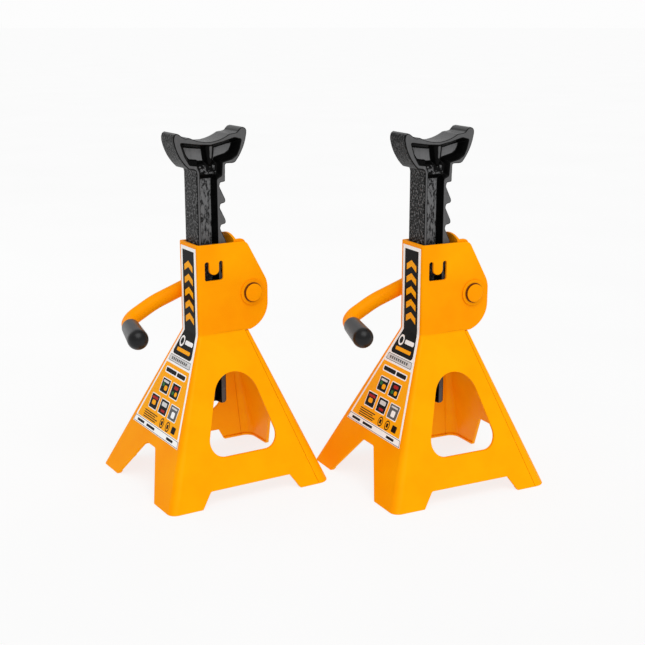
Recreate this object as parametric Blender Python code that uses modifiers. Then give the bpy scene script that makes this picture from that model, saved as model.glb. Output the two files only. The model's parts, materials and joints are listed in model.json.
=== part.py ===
"""A pair of ratchet axle stands.

Each stand is a folded sheet base with a two-cheek head, a cast ratchet bar with a saddle on top, and a pawl
that turns with a bent handle rod. Metres, +Z up, feet on z = 0. In a stand's own frame +X runs from the
label wall to the pawl, Y runs along the pivot rod, and x = 0 is the outer face of the label wall's column.
"""

import math

import bmesh
import bpy
from mathutils import Matrix, Vector

# Sheet base and head
SHEET = 0.0030
GAP = 0.0003
COLUMN_TOP = 0.2400
KNEE = 0.1510
COLUMN_HALF = 0.02045
BASE_HALF = 0.08515
FRONT_FOOT_X = -0.0648
REAR_FOOT_X = 0.1121
REAR_KNEE_X = 0.0548
FRONT_RADIUS = (0.0085, 0.0030)
REAR_RADIUS = (0.0140, 0.0030)
FOOT_LIP = 0.0045
SEAM_SETBACK = (0.0148, 0.0042)

# Cheeks of the head, seen from the side
CHEEK_REAR_X = 0.0765
CHEEK_SLANT_TOP = (0.0536, COLUMN_TOP, 0.0070)
CHEEK_SLANT_LOW = (CHEEK_REAR_X, 0.1976, 0.0240)
CHEEK_LOWER = (CHEEK_REAR_X, 0.1565, 0.0269)
CHEEK_FOOT_X = 0.0568

# Openings in the sheet
ARCH_CIRCLES = ((0.0034, 0.0550, 0.0140), (0.0469, 0.0550, 0.0140), (0.0273, 0.0910, 0.0240))
SIDE_NOTCH = ((-0.0309, 0.0), (-0.0194, 0.0140), (0.0670, 0.0140), (0.0761, 0.0))
END_NOTCH = ((-0.0458, 0.0), (-0.0110, 0.0424), (0.0110, 0.0424), (0.0458, 0.0))
SLOT_LEFT = 0.0080
SLOT_RIGHT = 0.0275
SLOT_LOW = 0.2045
SLOT_HIGH = 0.2233
TONGUE_LEFT = 0.0126
TONGUE_RIGHT = 0.0233
TONGUE_LOW = 0.2102

# Ratchet bar and saddle, one casting
BAR_HALF = 0.0144
BAR_FRONT_X = 0.0046
BAR_LOW = 0.0770
BAR_BACK_X = 0.0314
BAR_WEB_HALF = 0.0050
NECK_WEB_HALF = 0.0085
RECESS_X = (0.0080, 0.0254)
CHANNEL_TOP = 0.3020
TOOTH_ROOT_X = 0.0286
TOOTH_TIP_X = 0.0349
PITCH = 0.02045
SHOULDER_Z = 0.2988
TEETH = 8
HELD_TOOTH = 4
TROUGH_LEFT = (-0.0016, 0.3423)
TROUGH_LOW = (0.0185, 0.3377)
TROUGH_RIGHT = (0.0402, 0.3443)

# Pawl, pivot rod, handle and grip
PIVOT_X = 0.0590
PIVOT_Z = 0.1886
ROD_RADIUS = 0.0075
BORE_RADIUS = 0.0078
ROD_HEAD_RADIUS = 0.0089
ROD_HEAD_PROUD = 0.0042
WASHER_RADIUS = 0.0128
WASHER_THICKNESS = 0.0010
PAWL_HALF = 0.0140
HUB_RADIUS = 0.0130
HUB_STEP = 0.0006
NOSE_RADIUS = 0.0378
NOSE_X = 0.0308
PAWL_REST_LIFT = 10.5
ARM_Y = 0.0360
ARM_RISE = (-0.0250, 0.0078)
ARM_BOW = (-0.0220, 0.1766)
ARM_END = (-0.0511, 0.1607)
GRIP_DIRECTION = (-0.209, -0.974, -0.082)
GRIP_START = 0.0180
GRIP_LENGTH = 0.0360
GRIP_RADIUS = (0.0088, 0.0102)
GRIP_BORE_RADIUS = 0.0078
SPRING_PIN_RADIUS = 0.0025

# Guide bracket behind the bar
GUIDE_X = (0.0410, 0.0600)
GUIDE_Z = (0.2280, 0.2424)
GUIDE_CROWN = 0.0047
GUIDE_SETBACK = 0.0004
GUIDE_THICKNESS = 0.0025

# Label on the front wall
LABEL_THICKNESS = 0.0004
LABEL_TOP = 0.2365
LABEL_LOW = 0.0528
LABEL_MARGIN = 0.0003

# Where the stands stand: the second one is turned a little about its own origin
STAND_B_OFFSET = (0.18642, -0.11131)
STAND_B_TURN = -4.84

ORANGE = (0.93, 0.36, 0.010)
BLACK = (0.012, 0.012, 0.013)
RUBBER_BLACK = (0.020, 0.020, 0.021)
STEEL = (0.55, 0.55, 0.56)
WHITE = (0.86, 0.86, 0.85)

PARTS = bpy.data.collections.new("axle_stands")
CUTTERS = bpy.data.collections.new("cutters")


def clear_scene():
    for item in list(bpy.data.objects):
        bpy.data.objects.remove(item, do_unlink=True)
    bpy.context.scene.collection.children.link(PARTS)
    bpy.context.scene.collection.children.link(CUTTERS)


def material(name, color, roughness, metallic=0.0):
    """A Principled material with one colour."""
    made = bpy.data.materials.new(name)
    made.use_nodes = True
    shader = made.node_tree.nodes["Principled BSDF"]
    shader.inputs["Base Color"].default_value = (*color, 1.0)
    shader.inputs["Roughness"].default_value = roughness
    shader.inputs["Metallic"].default_value = metallic
    return made


# Outlines: lists of (u, v) points, counter-clockwise


def arc(center, radius, start, end, steps):
    """Points of an arc between two angles in radians, both ends included."""
    points = []
    for index in range(steps + 1):
        angle = start + (end - start) * index / steps
        points.append((center[0] + radius * math.cos(angle), center[1] + radius * math.sin(angle)))
    return points


def arc_through(first, middle, last, steps):
    """Points of the circle arc that runs from first through middle to last."""
    (ax, ay), (bx, by), (cx, cy) = first, middle, last
    d = 2.0 * (ax * (by - cy) + bx * (cy - ay) + cx * (ay - by))
    a2, b2, c2 = ax * ax + ay * ay, bx * bx + by * by, cx * cx + cy * cy
    ux = (a2 * (by - cy) + b2 * (cy - ay) + c2 * (ay - by)) / d
    uy = (a2 * (cx - bx) + b2 * (ax - cx) + c2 * (bx - ax)) / d
    start = math.atan2(ay - uy, ax - ux)
    turn = math.remainder(math.atan2(cy - uy, cx - ux) - start, 2.0 * math.pi)
    return arc((ux, uy), math.hypot(ax - ux, ay - uy), start, start + turn, steps)


def rounded(corners, steps=4):
    """An outline from (u, v, radius) corners; a radius of 0 keeps the corner sharp."""
    points = []
    count = len(corners)
    for index, (u, v, radius) in enumerate(corners):
        here = Vector((u, v))
        if radius == 0:
            points.append((u, v))
            continue
        before = (Vector(corners[index - 1][:2]) - here).normalized()
        after = (Vector(corners[(index + 1) % count][:2]) - here).normalized()
        half = before.angle(after) / 2.0
        center = here + (before + after).normalized() * radius / math.sin(half)
        first = here + before * radius / math.tan(half) - center
        last = here + after * radius / math.tan(half) - center
        start = math.atan2(first.y, first.x)
        turn = math.remainder(math.atan2(last.y, last.x) - start, 2.0 * math.pi)
        points += arc(center, radius, start, start + turn, steps)
    return points


def belt(circles, steps=8):
    """The outline of a belt pulled round (u, v, radius) circles, given counter-clockwise."""
    normals = []
    for index, (u, v, radius) in enumerate(circles):
        u2, v2, radius2 = circles[(index + 1) % len(circles)]
        along = math.atan2(v2 - v, u2 - u)
        normals.append(along - math.acos((radius - radius2) / math.hypot(u2 - u, v2 - v)))
    points = []
    for index, (u, v, radius) in enumerate(circles):
        start = normals[index - 1]
        turn = (normals[index] - start) % (2.0 * math.pi)
        points += arc((u, v), radius, start, start + turn, steps)
    return points


# Solids


def add_object(name, mesh, collection):
    made = bpy.data.objects.new(name, mesh)
    collection.objects.link(made)
    if collection is CUTTERS:
        made.hide_render = True
        made.display_type = "WIRE"
    return made


def bmesh_object(name, shape, collection):
    bmesh.ops.recalc_face_normals(shape, faces=shape.faces)
    mesh = bpy.data.meshes.new(name)
    shape.to_mesh(mesh)
    shape.free()
    return add_object(name, mesh, collection)


def mesh_from_curve(curve_object, collection):
    """Turns a curve object with caps into a closed mesh object in the same place."""
    name = curve_object.name
    graph = bpy.context.evaluated_depsgraph_get()
    mesh = bpy.data.meshes.new_from_object(curve_object.evaluated_get(graph))
    place = curve_object.matrix_world.copy()
    bpy.data.objects.remove(curve_object, do_unlink=True)
    shape = bmesh.new()
    shape.from_mesh(mesh)
    bmesh.ops.remove_doubles(shape, verts=shape.verts, dist=1e-6)
    shape.transform(place)
    return bmesh_object(name, shape, collection)


ALONG_Y = Matrix(((1, 0, 0, 0), (0, 0, -1, 0), (0, 1, 0, 0), (0, 0, 0, 1)))
ALONG_X = Matrix(((0, 0, 1, 0), (1, 0, 0, 0), (0, 1, 0, 0), (0, 0, 0, 1)))


def prism(name, outline, low, high, along=ALONG_Y, collection=PARTS):
    """An outline in XZ extruded along Y, in YZ along X, or in XY along Z, from low to high."""
    curve = bpy.data.curves.new(name, "CURVE")
    curve.dimensions = "2D"
    curve.fill_mode = "BOTH"
    curve.extrude = (high - low) / 2.0
    spline = curve.splines.new("POLY")
    spline.points.add(len(outline) - 1)
    for point, (u, v) in zip(spline.points, outline):
        point.co = (u, v, 0.0, 1.0)
    spline.use_cyclic_u = True
    made = add_object(name, curve, PARTS)
    middle = (low + high) / 2.0
    shift = Matrix.Translation((0.0, 0.0, -middle if along is ALONG_Y else middle))
    made.matrix_world = along @ shift
    bpy.context.view_layer.update()
    return mesh_from_curve(made, collection)


def cylinder(name, center, radius, length, axis=(0, 1, 0), sides=24, collection=PARTS):
    shape = bmesh.new()
    turn = Vector((0, 0, 1)).rotation_difference(Vector(axis)).to_matrix().to_4x4()
    place = Matrix.Translation(center) @ turn
    bmesh.ops.create_cone(
        shape, cap_ends=True, segments=sides, radius1=radius, radius2=radius, depth=length, matrix=place
    )
    return bmesh_object(name, shape, collection)


def loft(name, rings, collection=PARTS):
    """A closed solid through rings of equally many points."""
    shape = bmesh.new()
    levels = [[shape.verts.new(point) for point in ring] for ring in rings]
    shape.faces.new(reversed(levels[0]))
    shape.faces.new(levels[-1])
    for low, high in zip(levels, levels[1:]):
        for index in range(len(low)):
            after = (index + 1) % len(low)
            shape.faces.new((low[index], low[after], high[after], high[index]))
    return bmesh_object(name, shape, collection)


def boolean(target, other, operation):
    made = target.modifiers.new(operation.lower(), "BOOLEAN")
    made.object = other
    made.operation = operation
    made.solver = "EXACT"


def cut(target, *others):
    for other in others:
        boolean(target, other, "DIFFERENCE")


def join(target, *others):
    for other in others:
        boolean(target, other, "UNION")


def applied(target):
    """Keeps the object's evaluated mesh and drops its modifiers, so that copies can share the mesh."""
    bpy.context.view_layer.update()
    graph = bpy.context.evaluated_depsgraph_get()
    mesh = bpy.data.meshes.new_from_object(target.evaluated_get(graph))
    target.modifiers.clear()
    target.data = mesh
    return target


def as_cutter(made):
    PARTS.objects.unlink(made)
    CUTTERS.objects.link(made)
    made.hide_render = True
    made.display_type = "WIRE"
    return made


# The folded base and the rear panel


def at_height(z, foot, knee):
    """A value that runs straight from the floor to the knee."""
    return foot + (knee - foot) * z / KNEE


def base_ring(z, inset=0.0):
    """The base's rounded section at a height, drawn in by inset on every side."""
    front = at_height(z, FRONT_FOOT_X, 0.0) + inset
    rear = at_height(z, REAR_FOOT_X, REAR_KNEE_X) - inset
    half = at_height(z, BASE_HALF, COLUMN_HALF) - inset
    front_radius = max(at_height(z, *FRONT_RADIUS) - inset, 0.0008)
    rear_radius = max(at_height(z, *REAR_RADIUS) - inset, 0.0008)
    outline = rounded(
        (
            (front, -half, front_radius),
            (rear, -half, rear_radius),
            (rear, half, rear_radius),
            (front, half, front_radius),
        )
    )
    return [(u, v, z) for u, v in outline]


def base_solid():
    """Four leaning walls with rounded corners, a lip turned in at the foot, and an open top."""
    slope = math.hypot(1.0, (BASE_HALF - COLUMN_HALF) / KNEE)
    wall = SHEET * slope
    base = loft("base", (base_ring(0.0), base_ring(KNEE)))
    hollow = loft("base_hollow", (base_ring(SHEET, wall), base_ring(KNEE + 0.002, wall)), CUTTERS)
    foot_hole = loft("foot_hole", (base_ring(-0.002, FOOT_LIP), base_ring(SHEET + 0.001, FOOT_LIP)), CUTTERS)
    side_notch = rounded(notch_corners(SIDE_NOTCH, 0.003))
    end_notch = rounded(notch_corners(END_NOTCH, 0.004))
    reach = 0.2
    through_sides = prism("side_notch", side_notch, -reach, reach, ALONG_Y, CUTTERS)
    through_ends = prism("end_notch", end_notch, -reach, reach, ALONG_X, CUTTERS)
    arch = prism("arch_windows", belt(ARCH_CIRCLES), -reach, reach, ALONG_Y, CUTTERS)
    cut(base, hollow, foot_hole, through_sides, through_ends, arch)
    return applied(base)


def notch_corners(notch, radius):
    """A notch's trapezoid, its sides carried on below the floor, with rounded upper corners."""
    (u0, v0), (u1, v1), (u2, v2), (u3, v3) = notch
    below = 0.005
    left = u0 - (u1 - u0) * below / (v1 - v0)
    right = u3 + (u3 - u2) * below / (v2 - v3)
    return ((left, v0 - below, 0), (right, v3 - below, 0), (u2, v2, radius), (u1, v1, radius))


def head_solid():
    """The column's front wall and the two cheeks, open behind and on top."""
    sink = 0.004
    outline = rounded(
        (
            (-0.010, KNEE - sink, 0),
            (REAR_KNEE_X - 0.006, KNEE - sink, 0),
            (REAR_KNEE_X - 0.006, KNEE, 0),
            (CHEEK_FOOT_X, KNEE, 0),
            CHEEK_LOWER,
            CHEEK_SLANT_LOW,
            CHEEK_SLANT_TOP,
            (-0.010, COLUMN_TOP, 0),
        ),
        6,
    )
    head = prism("head", outline, -COLUMN_HALF, COLUMN_HALF)
    far_x = CHEEK_REAR_X + 0.02
    radius = FRONT_RADIUS[1]
    section = rounded(
        (
            (0.0, -COLUMN_HALF, radius),
            (far_x, -COLUMN_HALF, 0),
            (far_x, COLUMN_HALF, 0),
            (0.0, COLUMN_HALF, radius),
        )
    )
    inner = COLUMN_HALF - SHEET
    bore = rounded(
        ((SHEET, -inner, 0.0012), (far_x, -inner, 0), (far_x, inner, 0), (SHEET, inner, 0.0012))
    )
    along_z = Matrix.Identity(4)
    corners = prism("column_section", section, KNEE - 0.01, COLUMN_TOP + 0.01, along_z, CUTTERS)
    hollow = prism("column_hollow", bore, KNEE - 0.02, COLUMN_TOP + 0.02, along_z, CUTTERS)
    boolean(head, corners, "INTERSECT")
    cut(head, hollow)
    return applied(head)


def seam_wedge(name, setback, top):
    """Everything behind the seam that runs up each side just ahead of the rear corner."""
    low = -0.01
    x_low = at_height(low, REAR_FOOT_X - SEAM_SETBACK[0], REAR_KNEE_X - SEAM_SETBACK[1]) - setback
    x_high = at_height(top, REAR_FOOT_X - SEAM_SETBACK[0], REAR_KNEE_X - SEAM_SETBACK[1]) - setback
    outline = ((x_low, low), (0.2, low), (0.2, top), (x_high, top))
    return prism(name, outline, -0.2, 0.2, ALONG_Y, CUTTERS)


def slot_cutter():
    """The U that frees a tongue in each cheek."""
    tip = (TONGUE_RIGHT - TONGUE_LEFT) / 2.0
    end = (TONGUE_LEFT - SLOT_LEFT) / 2.0 - 0.0001
    outline = rounded(
        (
            (SLOT_LEFT, SLOT_LOW, 0.0022),
            (SLOT_RIGHT, SLOT_LOW, 0.0022),
            (SLOT_RIGHT, SLOT_HIGH, (SLOT_RIGHT - TONGUE_RIGHT) / 2.0 - 0.0001),
            (TONGUE_RIGHT, SLOT_HIGH, (SLOT_RIGHT - TONGUE_RIGHT) / 2.0 - 0.0001),
            (TONGUE_RIGHT, TONGUE_LOW, tip - 0.0001),
            (TONGUE_LEFT, TONGUE_LOW, tip - 0.0001),
            (TONGUE_LEFT, SLOT_HIGH, end),
            (SLOT_LEFT, SLOT_HIGH, end),
        )
    )
    return prism("tongue_slot", outline, -0.05, 0.05, ALONG_Y, CUTTERS)


def make_frame(paint):
    """The folded shell with its cheeks, and the rear panel welded into it."""
    base = base_solid()
    panel = add_object("rear_panel", base.data.copy(), PARTS)
    boolean(panel, seam_wedge("panel_wedge", 0.0, KNEE - 2.0 * GAP), "INTERSECT")
    cut(base, seam_wedge("shell_wedge", GAP, KNEE - GAP))
    shell = applied(base)
    shell.name = "frame_shell"
    head = as_cutter(head_solid())
    throat = column_throat()
    pivot = cylinder(
        "pivot_bore", (PIVOT_X, 0, PIVOT_Z), BORE_RADIUS, 0.1, sides=32, collection=CUTTERS
    )
    join(shell, head)
    cut(shell, throat, slot_cutter(), pivot)
    applied(panel)
    applied(shell)
    shell.data.materials.append(paint)
    panel.data.materials.append(paint)
    return [shell, panel]


def column_throat():
    """The way down from the column into the hollow base."""
    inner = COLUMN_HALF - SHEET
    outline = ((SHEET, -inner), (REAR_KNEE_X + 0.03, -inner), (REAR_KNEE_X + 0.03, inner), (SHEET, inner))
    return prism("column_throat", outline, KNEE - 0.006, KNEE + 0.006, Matrix.Identity(4), CUTTERS)


def make_guide(paint):
    """A bent bracket across the head behind the teeth, its web crowned, its flanges cut to the cheeks' slant."""
    half = COLUMN_HALF - SHEET - GAP
    front, rear = GUIDE_X
    low, flange_top = GUIDE_Z
    inside = half - GUIDE_THICKNESS
    outline = (
        (front, -half),
        (rear, -half),
        (rear, -inside),
        (front + GUIDE_THICKNESS, -inside),
        (front + GUIDE_THICKNESS, inside),
        (rear, inside),
        (rear, half),
        (front, half),
    )
    guide = prism("bar_guide", outline, low, flange_top + 0.01, Matrix.Identity(4))
    slant = (CHEEK_REAR_X - CHEEK_SLANT_TOP[0]) / (COLUMN_TOP - CHEEK_SLANT_LOW[1])
    flange_x = CHEEK_SLANT_TOP[0] - GUIDE_SETBACK - slant * (flange_top - COLUMN_TOP)
    web_x = front + GUIDE_THICKNESS
    side = rounded(
        (
            (front - 0.01, low - 0.01, 0),
            (flange_x + slant * (flange_top - low + 0.01), low - 0.01, 0),
            (flange_x, flange_top, 0.0050),
            (web_x, flange_top, 0),
            (web_x, flange_top + 0.02, 0),
            (front - 0.01, flange_top + 0.02, 0),
        )
    )
    crown = [(-half - 0.01, low - 0.01), (half + 0.01, low - 0.01), (half + 0.01, flange_top)]
    crown += arc_through((half, flange_top), (0.0, flange_top + GUIDE_CROWN), (-half, flange_top), 14)
    crown += [(-half - 0.01, flange_top)]
    boolean(guide, prism("guide_side", side, -0.03, 0.03, collection=CUTTERS), "INTERSECT")
    boolean(guide, prism("guide_crown", crown, front - 0.02, rear + 0.02, ALONG_X, CUTTERS), "INTERSECT")
    applied(guide)
    guide.data.materials.append(paint)
    return guide


# The ratchet bar


def tooth(flat_z):
    """One tooth from its root up: a flat that faces down, a rounded tip and a long ramp."""
    return [
        (TOOTH_ROOT_X, flat_z - 0.0040),
        (TOOTH_ROOT_X + 0.0009, flat_z - 0.0008),
        (TOOTH_TIP_X - 0.0015, flat_z),
        (TOOTH_TIP_X - 0.0003, flat_z + 0.0010),
        (TOOTH_TIP_X, flat_z + 0.0025),
        (TOOTH_TIP_X - 0.0006, flat_z + 0.0045),
        (TOOTH_ROOT_X + 0.0006, flat_z + 0.0148),
    ]


def bar_outline():
    """The casting seen from the side: plain foot, teeth, neck, and the saddle's two horns."""
    points = [(BAR_FRONT_X, BAR_LOW), (BAR_BACK_X - 0.002, BAR_LOW), (BAR_BACK_X, BAR_LOW + 0.002)]
    lowest = SHOULDER_Z - TEETH * PITCH
    points += [(BAR_BACK_X, lowest - 0.016), (TOOTH_ROOT_X, lowest - 0.008)]
    for index in range(TEETH, 0, -1):
        points += tooth(SHOULDER_Z - index * PITCH)
    points += [(TOOTH_ROOT_X, SHOULDER_Z - 0.0040), (TOOTH_ROOT_X + 0.0009, SHOULDER_Z - 0.0006)]
    points += [(TOOTH_TIP_X - 0.0005, SHOULDER_Z), (TOOTH_TIP_X, SHOULDER_Z + 0.001)]
    points += [(TOOTH_TIP_X + 0.0002, 0.3150), (TOOTH_TIP_X + 0.0012, 0.3161), (0.0437, 0.3160)]
    points += arc_through((0.0461, 0.3168), (0.0547, 0.3300), (0.0587, 0.3440), 5)
    points += [(0.0589, 0.3467), (0.0574, 0.3491), (0.0550, 0.3500), (0.0523, 0.3495), (0.0501, 0.3476)]
    points += [(0.0484, 0.3455), (0.0457, 0.3448)]
    points += trough()
    points += [(-0.0055, 0.3419), (-0.0090, 0.3436), (-0.0125, 0.3462), (-0.0150, 0.3470)]
    points += [(-0.0172, 0.3457), (-0.0182, 0.3428)]
    points += arc_through((-0.0183, 0.3400), (-0.0125, 0.3240), (-0.0033, 0.3128), 6)
    points += [(0.0019, 0.3122), (BAR_FRONT_X - 0.0006, 0.3107), (BAR_FRONT_X, 0.3080)]
    return points


def trough(steps=4):
    """The cradle's arc, right to left, with one level facet at its lowest point."""
    flat = 0.0025
    low_right = (TROUGH_LOW[0] + flat, TROUGH_LOW[1])
    low_left = (TROUGH_LOW[0] - flat, TROUGH_LOW[1])
    middle_right = (TROUGH_LOW[0] + 0.0122, TROUGH_LOW[1] + 0.0021)
    middle_left = (TROUGH_LOW[0] - 0.0122, TROUGH_LOW[1] + 0.0016)
    right = arc_through(TROUGH_RIGHT, middle_right, low_right, steps)
    left = arc_through(low_left, middle_left, TROUGH_LEFT, steps)
    return right + left


def pockets():
    """Side recesses: (name, outline, half thickness of the web that is left)."""
    recess_front, recess_rear = RECESS_X
    channel = (
        (recess_front, BAR_LOW - 0.01),
        (recess_rear, BAR_LOW - 0.01),
        (recess_rear, CHANNEL_TOP),
        (recess_front, CHANNEL_TOP),
    )
    neck = (
        (recess_front, 0.3062),
        (0.0310, 0.3062),
        (0.0320, 0.3188),
        (0.0260, 0.3215),
        (0.0140, 0.3215),
        (0.0076, 0.3155),
    )
    left = rounded(
        (
            (-0.0036, 0.3168, 0.0020),
            (0.0062, 0.3162, 0.0015),
            (0.0150, 0.3190, 0),
            (0.0144, 0.3338, 0.0015),
            (0.0030, 0.3372, 0.0),
            (-0.0118, 0.3377, 0.0025),
        )
    )
    right = rounded(
        (
            (0.0262, 0.3190, 0),
            (0.0436, 0.3200, 0.0040),
            (0.0536, 0.3405, 0.0030),
            (0.0400, 0.3398, 0),
            (0.0260, 0.3345, 0.0015),
        )
    )
    return (
        ("channel", channel, BAR_WEB_HALF),
        ("neck", neck, NECK_WEB_HALF),
        ("left", left, BAR_WEB_HALF),
        ("right", right, BAR_WEB_HALF),
    )


def make_bar(paint):
    bar = prism("ratchet_bar", bar_outline(), -BAR_HALF, BAR_HALF)
    reach = BAR_HALF + 0.005
    for name, outline, web in pockets():
        near = prism("near_" + name, outline, -reach, -web, ALONG_Y, CUTTERS)
        far = prism("far_" + name, outline, web, reach, ALONG_Y, CUTTERS)
        cut(bar, near, far)
    applied(bar)
    bar.data.materials.append(paint)
    return bar


# Pawl, rod, grip and small hardware


def pawl_outline():
    """The pawl in its engaged place: a nose under a tooth's flat, and a round hub on the pivot.

    The end of the nose is an arc about the pivot, so it swings in under the tooth without touching its tip.
    """
    flat_z = SHOULDER_Z - HELD_TOOTH * PITCH
    pivot = (PIVOT_X, PIVOT_Z)
    under = [(NOSE_X, flat_z - 0.0068), (TOOTH_TIP_X + 0.0014, flat_z - 0.0165)]
    hub = arc(pivot, HUB_RADIUS, math.radians(205), math.radians(425), 14)
    back = [(TOOTH_TIP_X + 0.0056, flat_z - 0.0021)]
    tip_angle = math.acos((NOSE_X - PIVOT_X) / NOSE_RADIUS)
    end = arc(pivot, NOSE_RADIUS, math.radians(131), tip_angle, 4)
    return under + hub + back + end


def make_pawl(paint):
    pawl = prism("pawl", pawl_outline(), -PAWL_HALF, PAWL_HALF)
    hub_length = 2.0 * (COLUMN_HALF - SHEET - GAP)
    hub_radius = HUB_RADIUS - HUB_STEP
    centre = (PIVOT_X, 0, PIVOT_Z)
    hub = cylinder("pawl_hub", centre, hub_radius, hub_length, sides=28, collection=CUTTERS)
    bore = cylinder("pawl_bore", (PIVOT_X, 0, PIVOT_Z), BORE_RADIUS, 0.1, sides=32, collection=CUTTERS)
    join(pawl, hub)
    cut(pawl, bore)
    applied(pawl)
    lift = Matrix.Rotation(math.radians(PAWL_REST_LIFT), 4, "Y")
    about = Matrix.Translation((PIVOT_X, 0, PIVOT_Z))
    pawl.data.transform(about @ lift @ about.inverted())
    cut(pawl, spring_pin_bore())
    applied(pawl)
    pawl.data.materials.append(paint)
    return pawl


def rounded_path(corners, steps):
    """A 3-D path with straight runs and round bends, from (point, bend radius) corners."""
    points = [Vector(corners[0][0])]
    for index in range(1, len(corners) - 1):
        here = Vector(corners[index][0])
        radius = corners[index][1]
        before = (Vector(corners[index - 1][0]) - here).normalized()
        after = (Vector(corners[index + 1][0]) - here).normalized()
        half = before.angle(after) / 2.0
        center = here + (before + after).normalized() * radius / math.sin(half)
        first = here + before * radius / math.tan(half) - center
        last = here + after * radius / math.tan(half) - center
        sweep = first.angle(last)
        for step in range(steps + 1):
            share = step / steps
            mixed = first * math.sin((1 - share) * sweep) + last * math.sin(share * sweep)
            points.append(center + mixed / math.sin(sweep))
    points.append(Vector(corners[-1][0]))
    return points


def tube(name, points, radius, resolution):
    """A round rod along points, with closed ends."""
    curve = bpy.data.curves.new(name, "CURVE")
    curve.dimensions = "3D"
    curve.bevel_depth = radius
    curve.bevel_resolution = resolution
    curve.use_fill_caps = True
    spline = curve.splines.new("POLY")
    spline.points.add(len(points) - 1)
    for point, place in zip(spline.points, points):
        point.co = (*place, 1.0)
    made = add_object(name, curve, PARTS)
    bpy.context.view_layer.update()
    return mesh_from_curve(made, PARTS)


def grip_axis():
    """The corner where the arm turns into the grip, and the grip's direction."""
    corner = Vector((ARM_END[0], ARM_Y, ARM_END[1]))
    return corner, Vector(GRIP_DIRECTION).normalized()


def make_rod(paint):
    """One bent rod: the pivot through both cheeks, the arm beside the column, and the stub in the grip."""
    corner, direction = grip_axis()
    near_y = -COLUMN_HALF - ROD_HEAD_PROUD
    path = rounded_path(
        (
            ((PIVOT_X, near_y + 0.0006, PIVOT_Z), 0),
            ((PIVOT_X, ARM_Y, PIVOT_Z), 0.0118),
            ((PIVOT_X + ARM_RISE[0], ARM_Y, PIVOT_Z + ARM_RISE[1]), 0.036),
            ((ARM_BOW[0], ARM_Y, ARM_BOW[1]), 0.100),
            (tuple(corner), 0.015),
            (tuple(corner + direction * (GRIP_START + GRIP_LENGTH - 0.003)), 0),
        ),
        7,
    )
    rod = tube("handle_rod", path, ROD_RADIUS, 6)
    head_length = ROD_HEAD_PROUD - WASHER_THICKNESS - 2.0 * GAP
    head_place = (PIVOT_X, near_y + head_length / 2.0, PIVOT_Z)
    head = cylinder("rod_head", head_place, ROD_HEAD_RADIUS, head_length, collection=CUTTERS)
    bevel = head.modifiers.new("edge", "BEVEL")
    bevel.width = 0.0006
    bevel.segments = 1
    bevel.limit_method = "ANGLE"
    join(rod, head)
    cut(rod, spring_pin_bore())
    applied(rod)
    rod.data.materials.append(paint)
    return rod


def make_grip(rubber):
    """A moulded sleeve with an open end on the rod and a round closed end, turned about its own axis."""
    corner, direction = grip_axis()
    start_radius, end_radius = GRIP_RADIUS
    outside = [(start_radius - 0.0004, 0.0), (start_radius, 0.0006)]
    outside += [(end_radius, GRIP_LENGTH)]
    outside += [
        (end_radius * math.cos(angle), GRIP_LENGTH + end_radius * math.sin(angle))
        for angle in (math.radians(15 * step) for step in range(1, 6))
    ]
    outside += [(0.0, GRIP_LENGTH + end_radius)]
    inside = [(0.0, GRIP_LENGTH - 0.0026), (GRIP_BORE_RADIUS, GRIP_LENGTH - 0.0026), (GRIP_BORE_RADIUS, 0.0)]
    profile = outside + inside
    shape = bmesh.new()
    verts = [shape.verts.new((radius, 0.0, height)) for radius, height in profile]
    for first, second in zip(verts, verts[1:]):
        shape.edges.new((first, second))
    shape.edges.new((verts[-1], verts[0]))
    bmesh.ops.spin(
        shape,
        geom=shape.verts[:] + shape.edges[:],
        cent=(0, 0, 0),
        axis=(0, 0, 1),
        angle=2.0 * math.pi,
        steps=20,
        use_merge=True,
    )
    bmesh.ops.remove_doubles(shape, verts=shape.verts, dist=1e-6)
    bmesh.ops.dissolve_degenerate(shape, dist=1e-7, edges=shape.edges)
    turn = Vector((0, 0, 1)).rotation_difference(direction).to_matrix().to_4x4()
    shape.transform(Matrix.Translation(corner + direction * GRIP_START) @ turn)
    grip = bmesh_object("handle_grip", shape, PARTS)
    grip.data.materials.append(rubber)
    return grip


def make_washer(name, y, steel):
    washer = cylinder(name, (PIVOT_X, y, PIVOT_Z), WASHER_RADIUS, WASHER_THICKNESS, sides=28)
    hole = cylinder(name + "_hole", (PIVOT_X, y, PIVOT_Z), BORE_RADIUS, 0.01, sides=32, collection=CUTTERS)
    cut(washer, hole)
    applied(washer)
    washer.data.materials.append(steel)
    return washer


SPRING_PIN_AXIS = Vector((1.0, 0.0, 1.0)).normalized()


def spring_pin_bore():
    return cylinder(
        "spring_pin_bore",
        (PIVOT_X, 0, PIVOT_Z),
        SPRING_PIN_RADIUS + GAP,
        0.05,
        axis=SPRING_PIN_AXIS,
        sides=16,
        collection=CUTTERS,
    )


def make_spring_pin(steel):
    """A rolled pin with an open slit that locks the pawl to the rod."""
    slit = math.radians(24)
    wall = 0.0009
    outer = arc((0, 0), SPRING_PIN_RADIUS, slit, 2.0 * math.pi - slit, 14)
    inner = arc((0, 0), SPRING_PIN_RADIUS - wall, 2.0 * math.pi - slit, slit, 14)
    half = HUB_RADIUS - 0.0004
    pin = prism("pawl_spring_pin", outer + inner, -half, half, Matrix.Identity(4))
    turn = Vector((0, 0, 1)).rotation_difference(SPRING_PIN_AXIS).to_matrix().to_4x4()
    pin.data.transform(Matrix.Translation((PIVOT_X, 0, PIVOT_Z)) @ turn)
    pin.data.materials.append(steel)
    return pin


def label_half(z):
    """Half the label's width at a height: the wall's flat part, less a margin."""
    z = min(z, KNEE)
    return at_height(z, BASE_HALF, COLUMN_HALF) - at_height(z, *FRONT_RADIUS) - LABEL_MARGIN * z / KNEE


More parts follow.
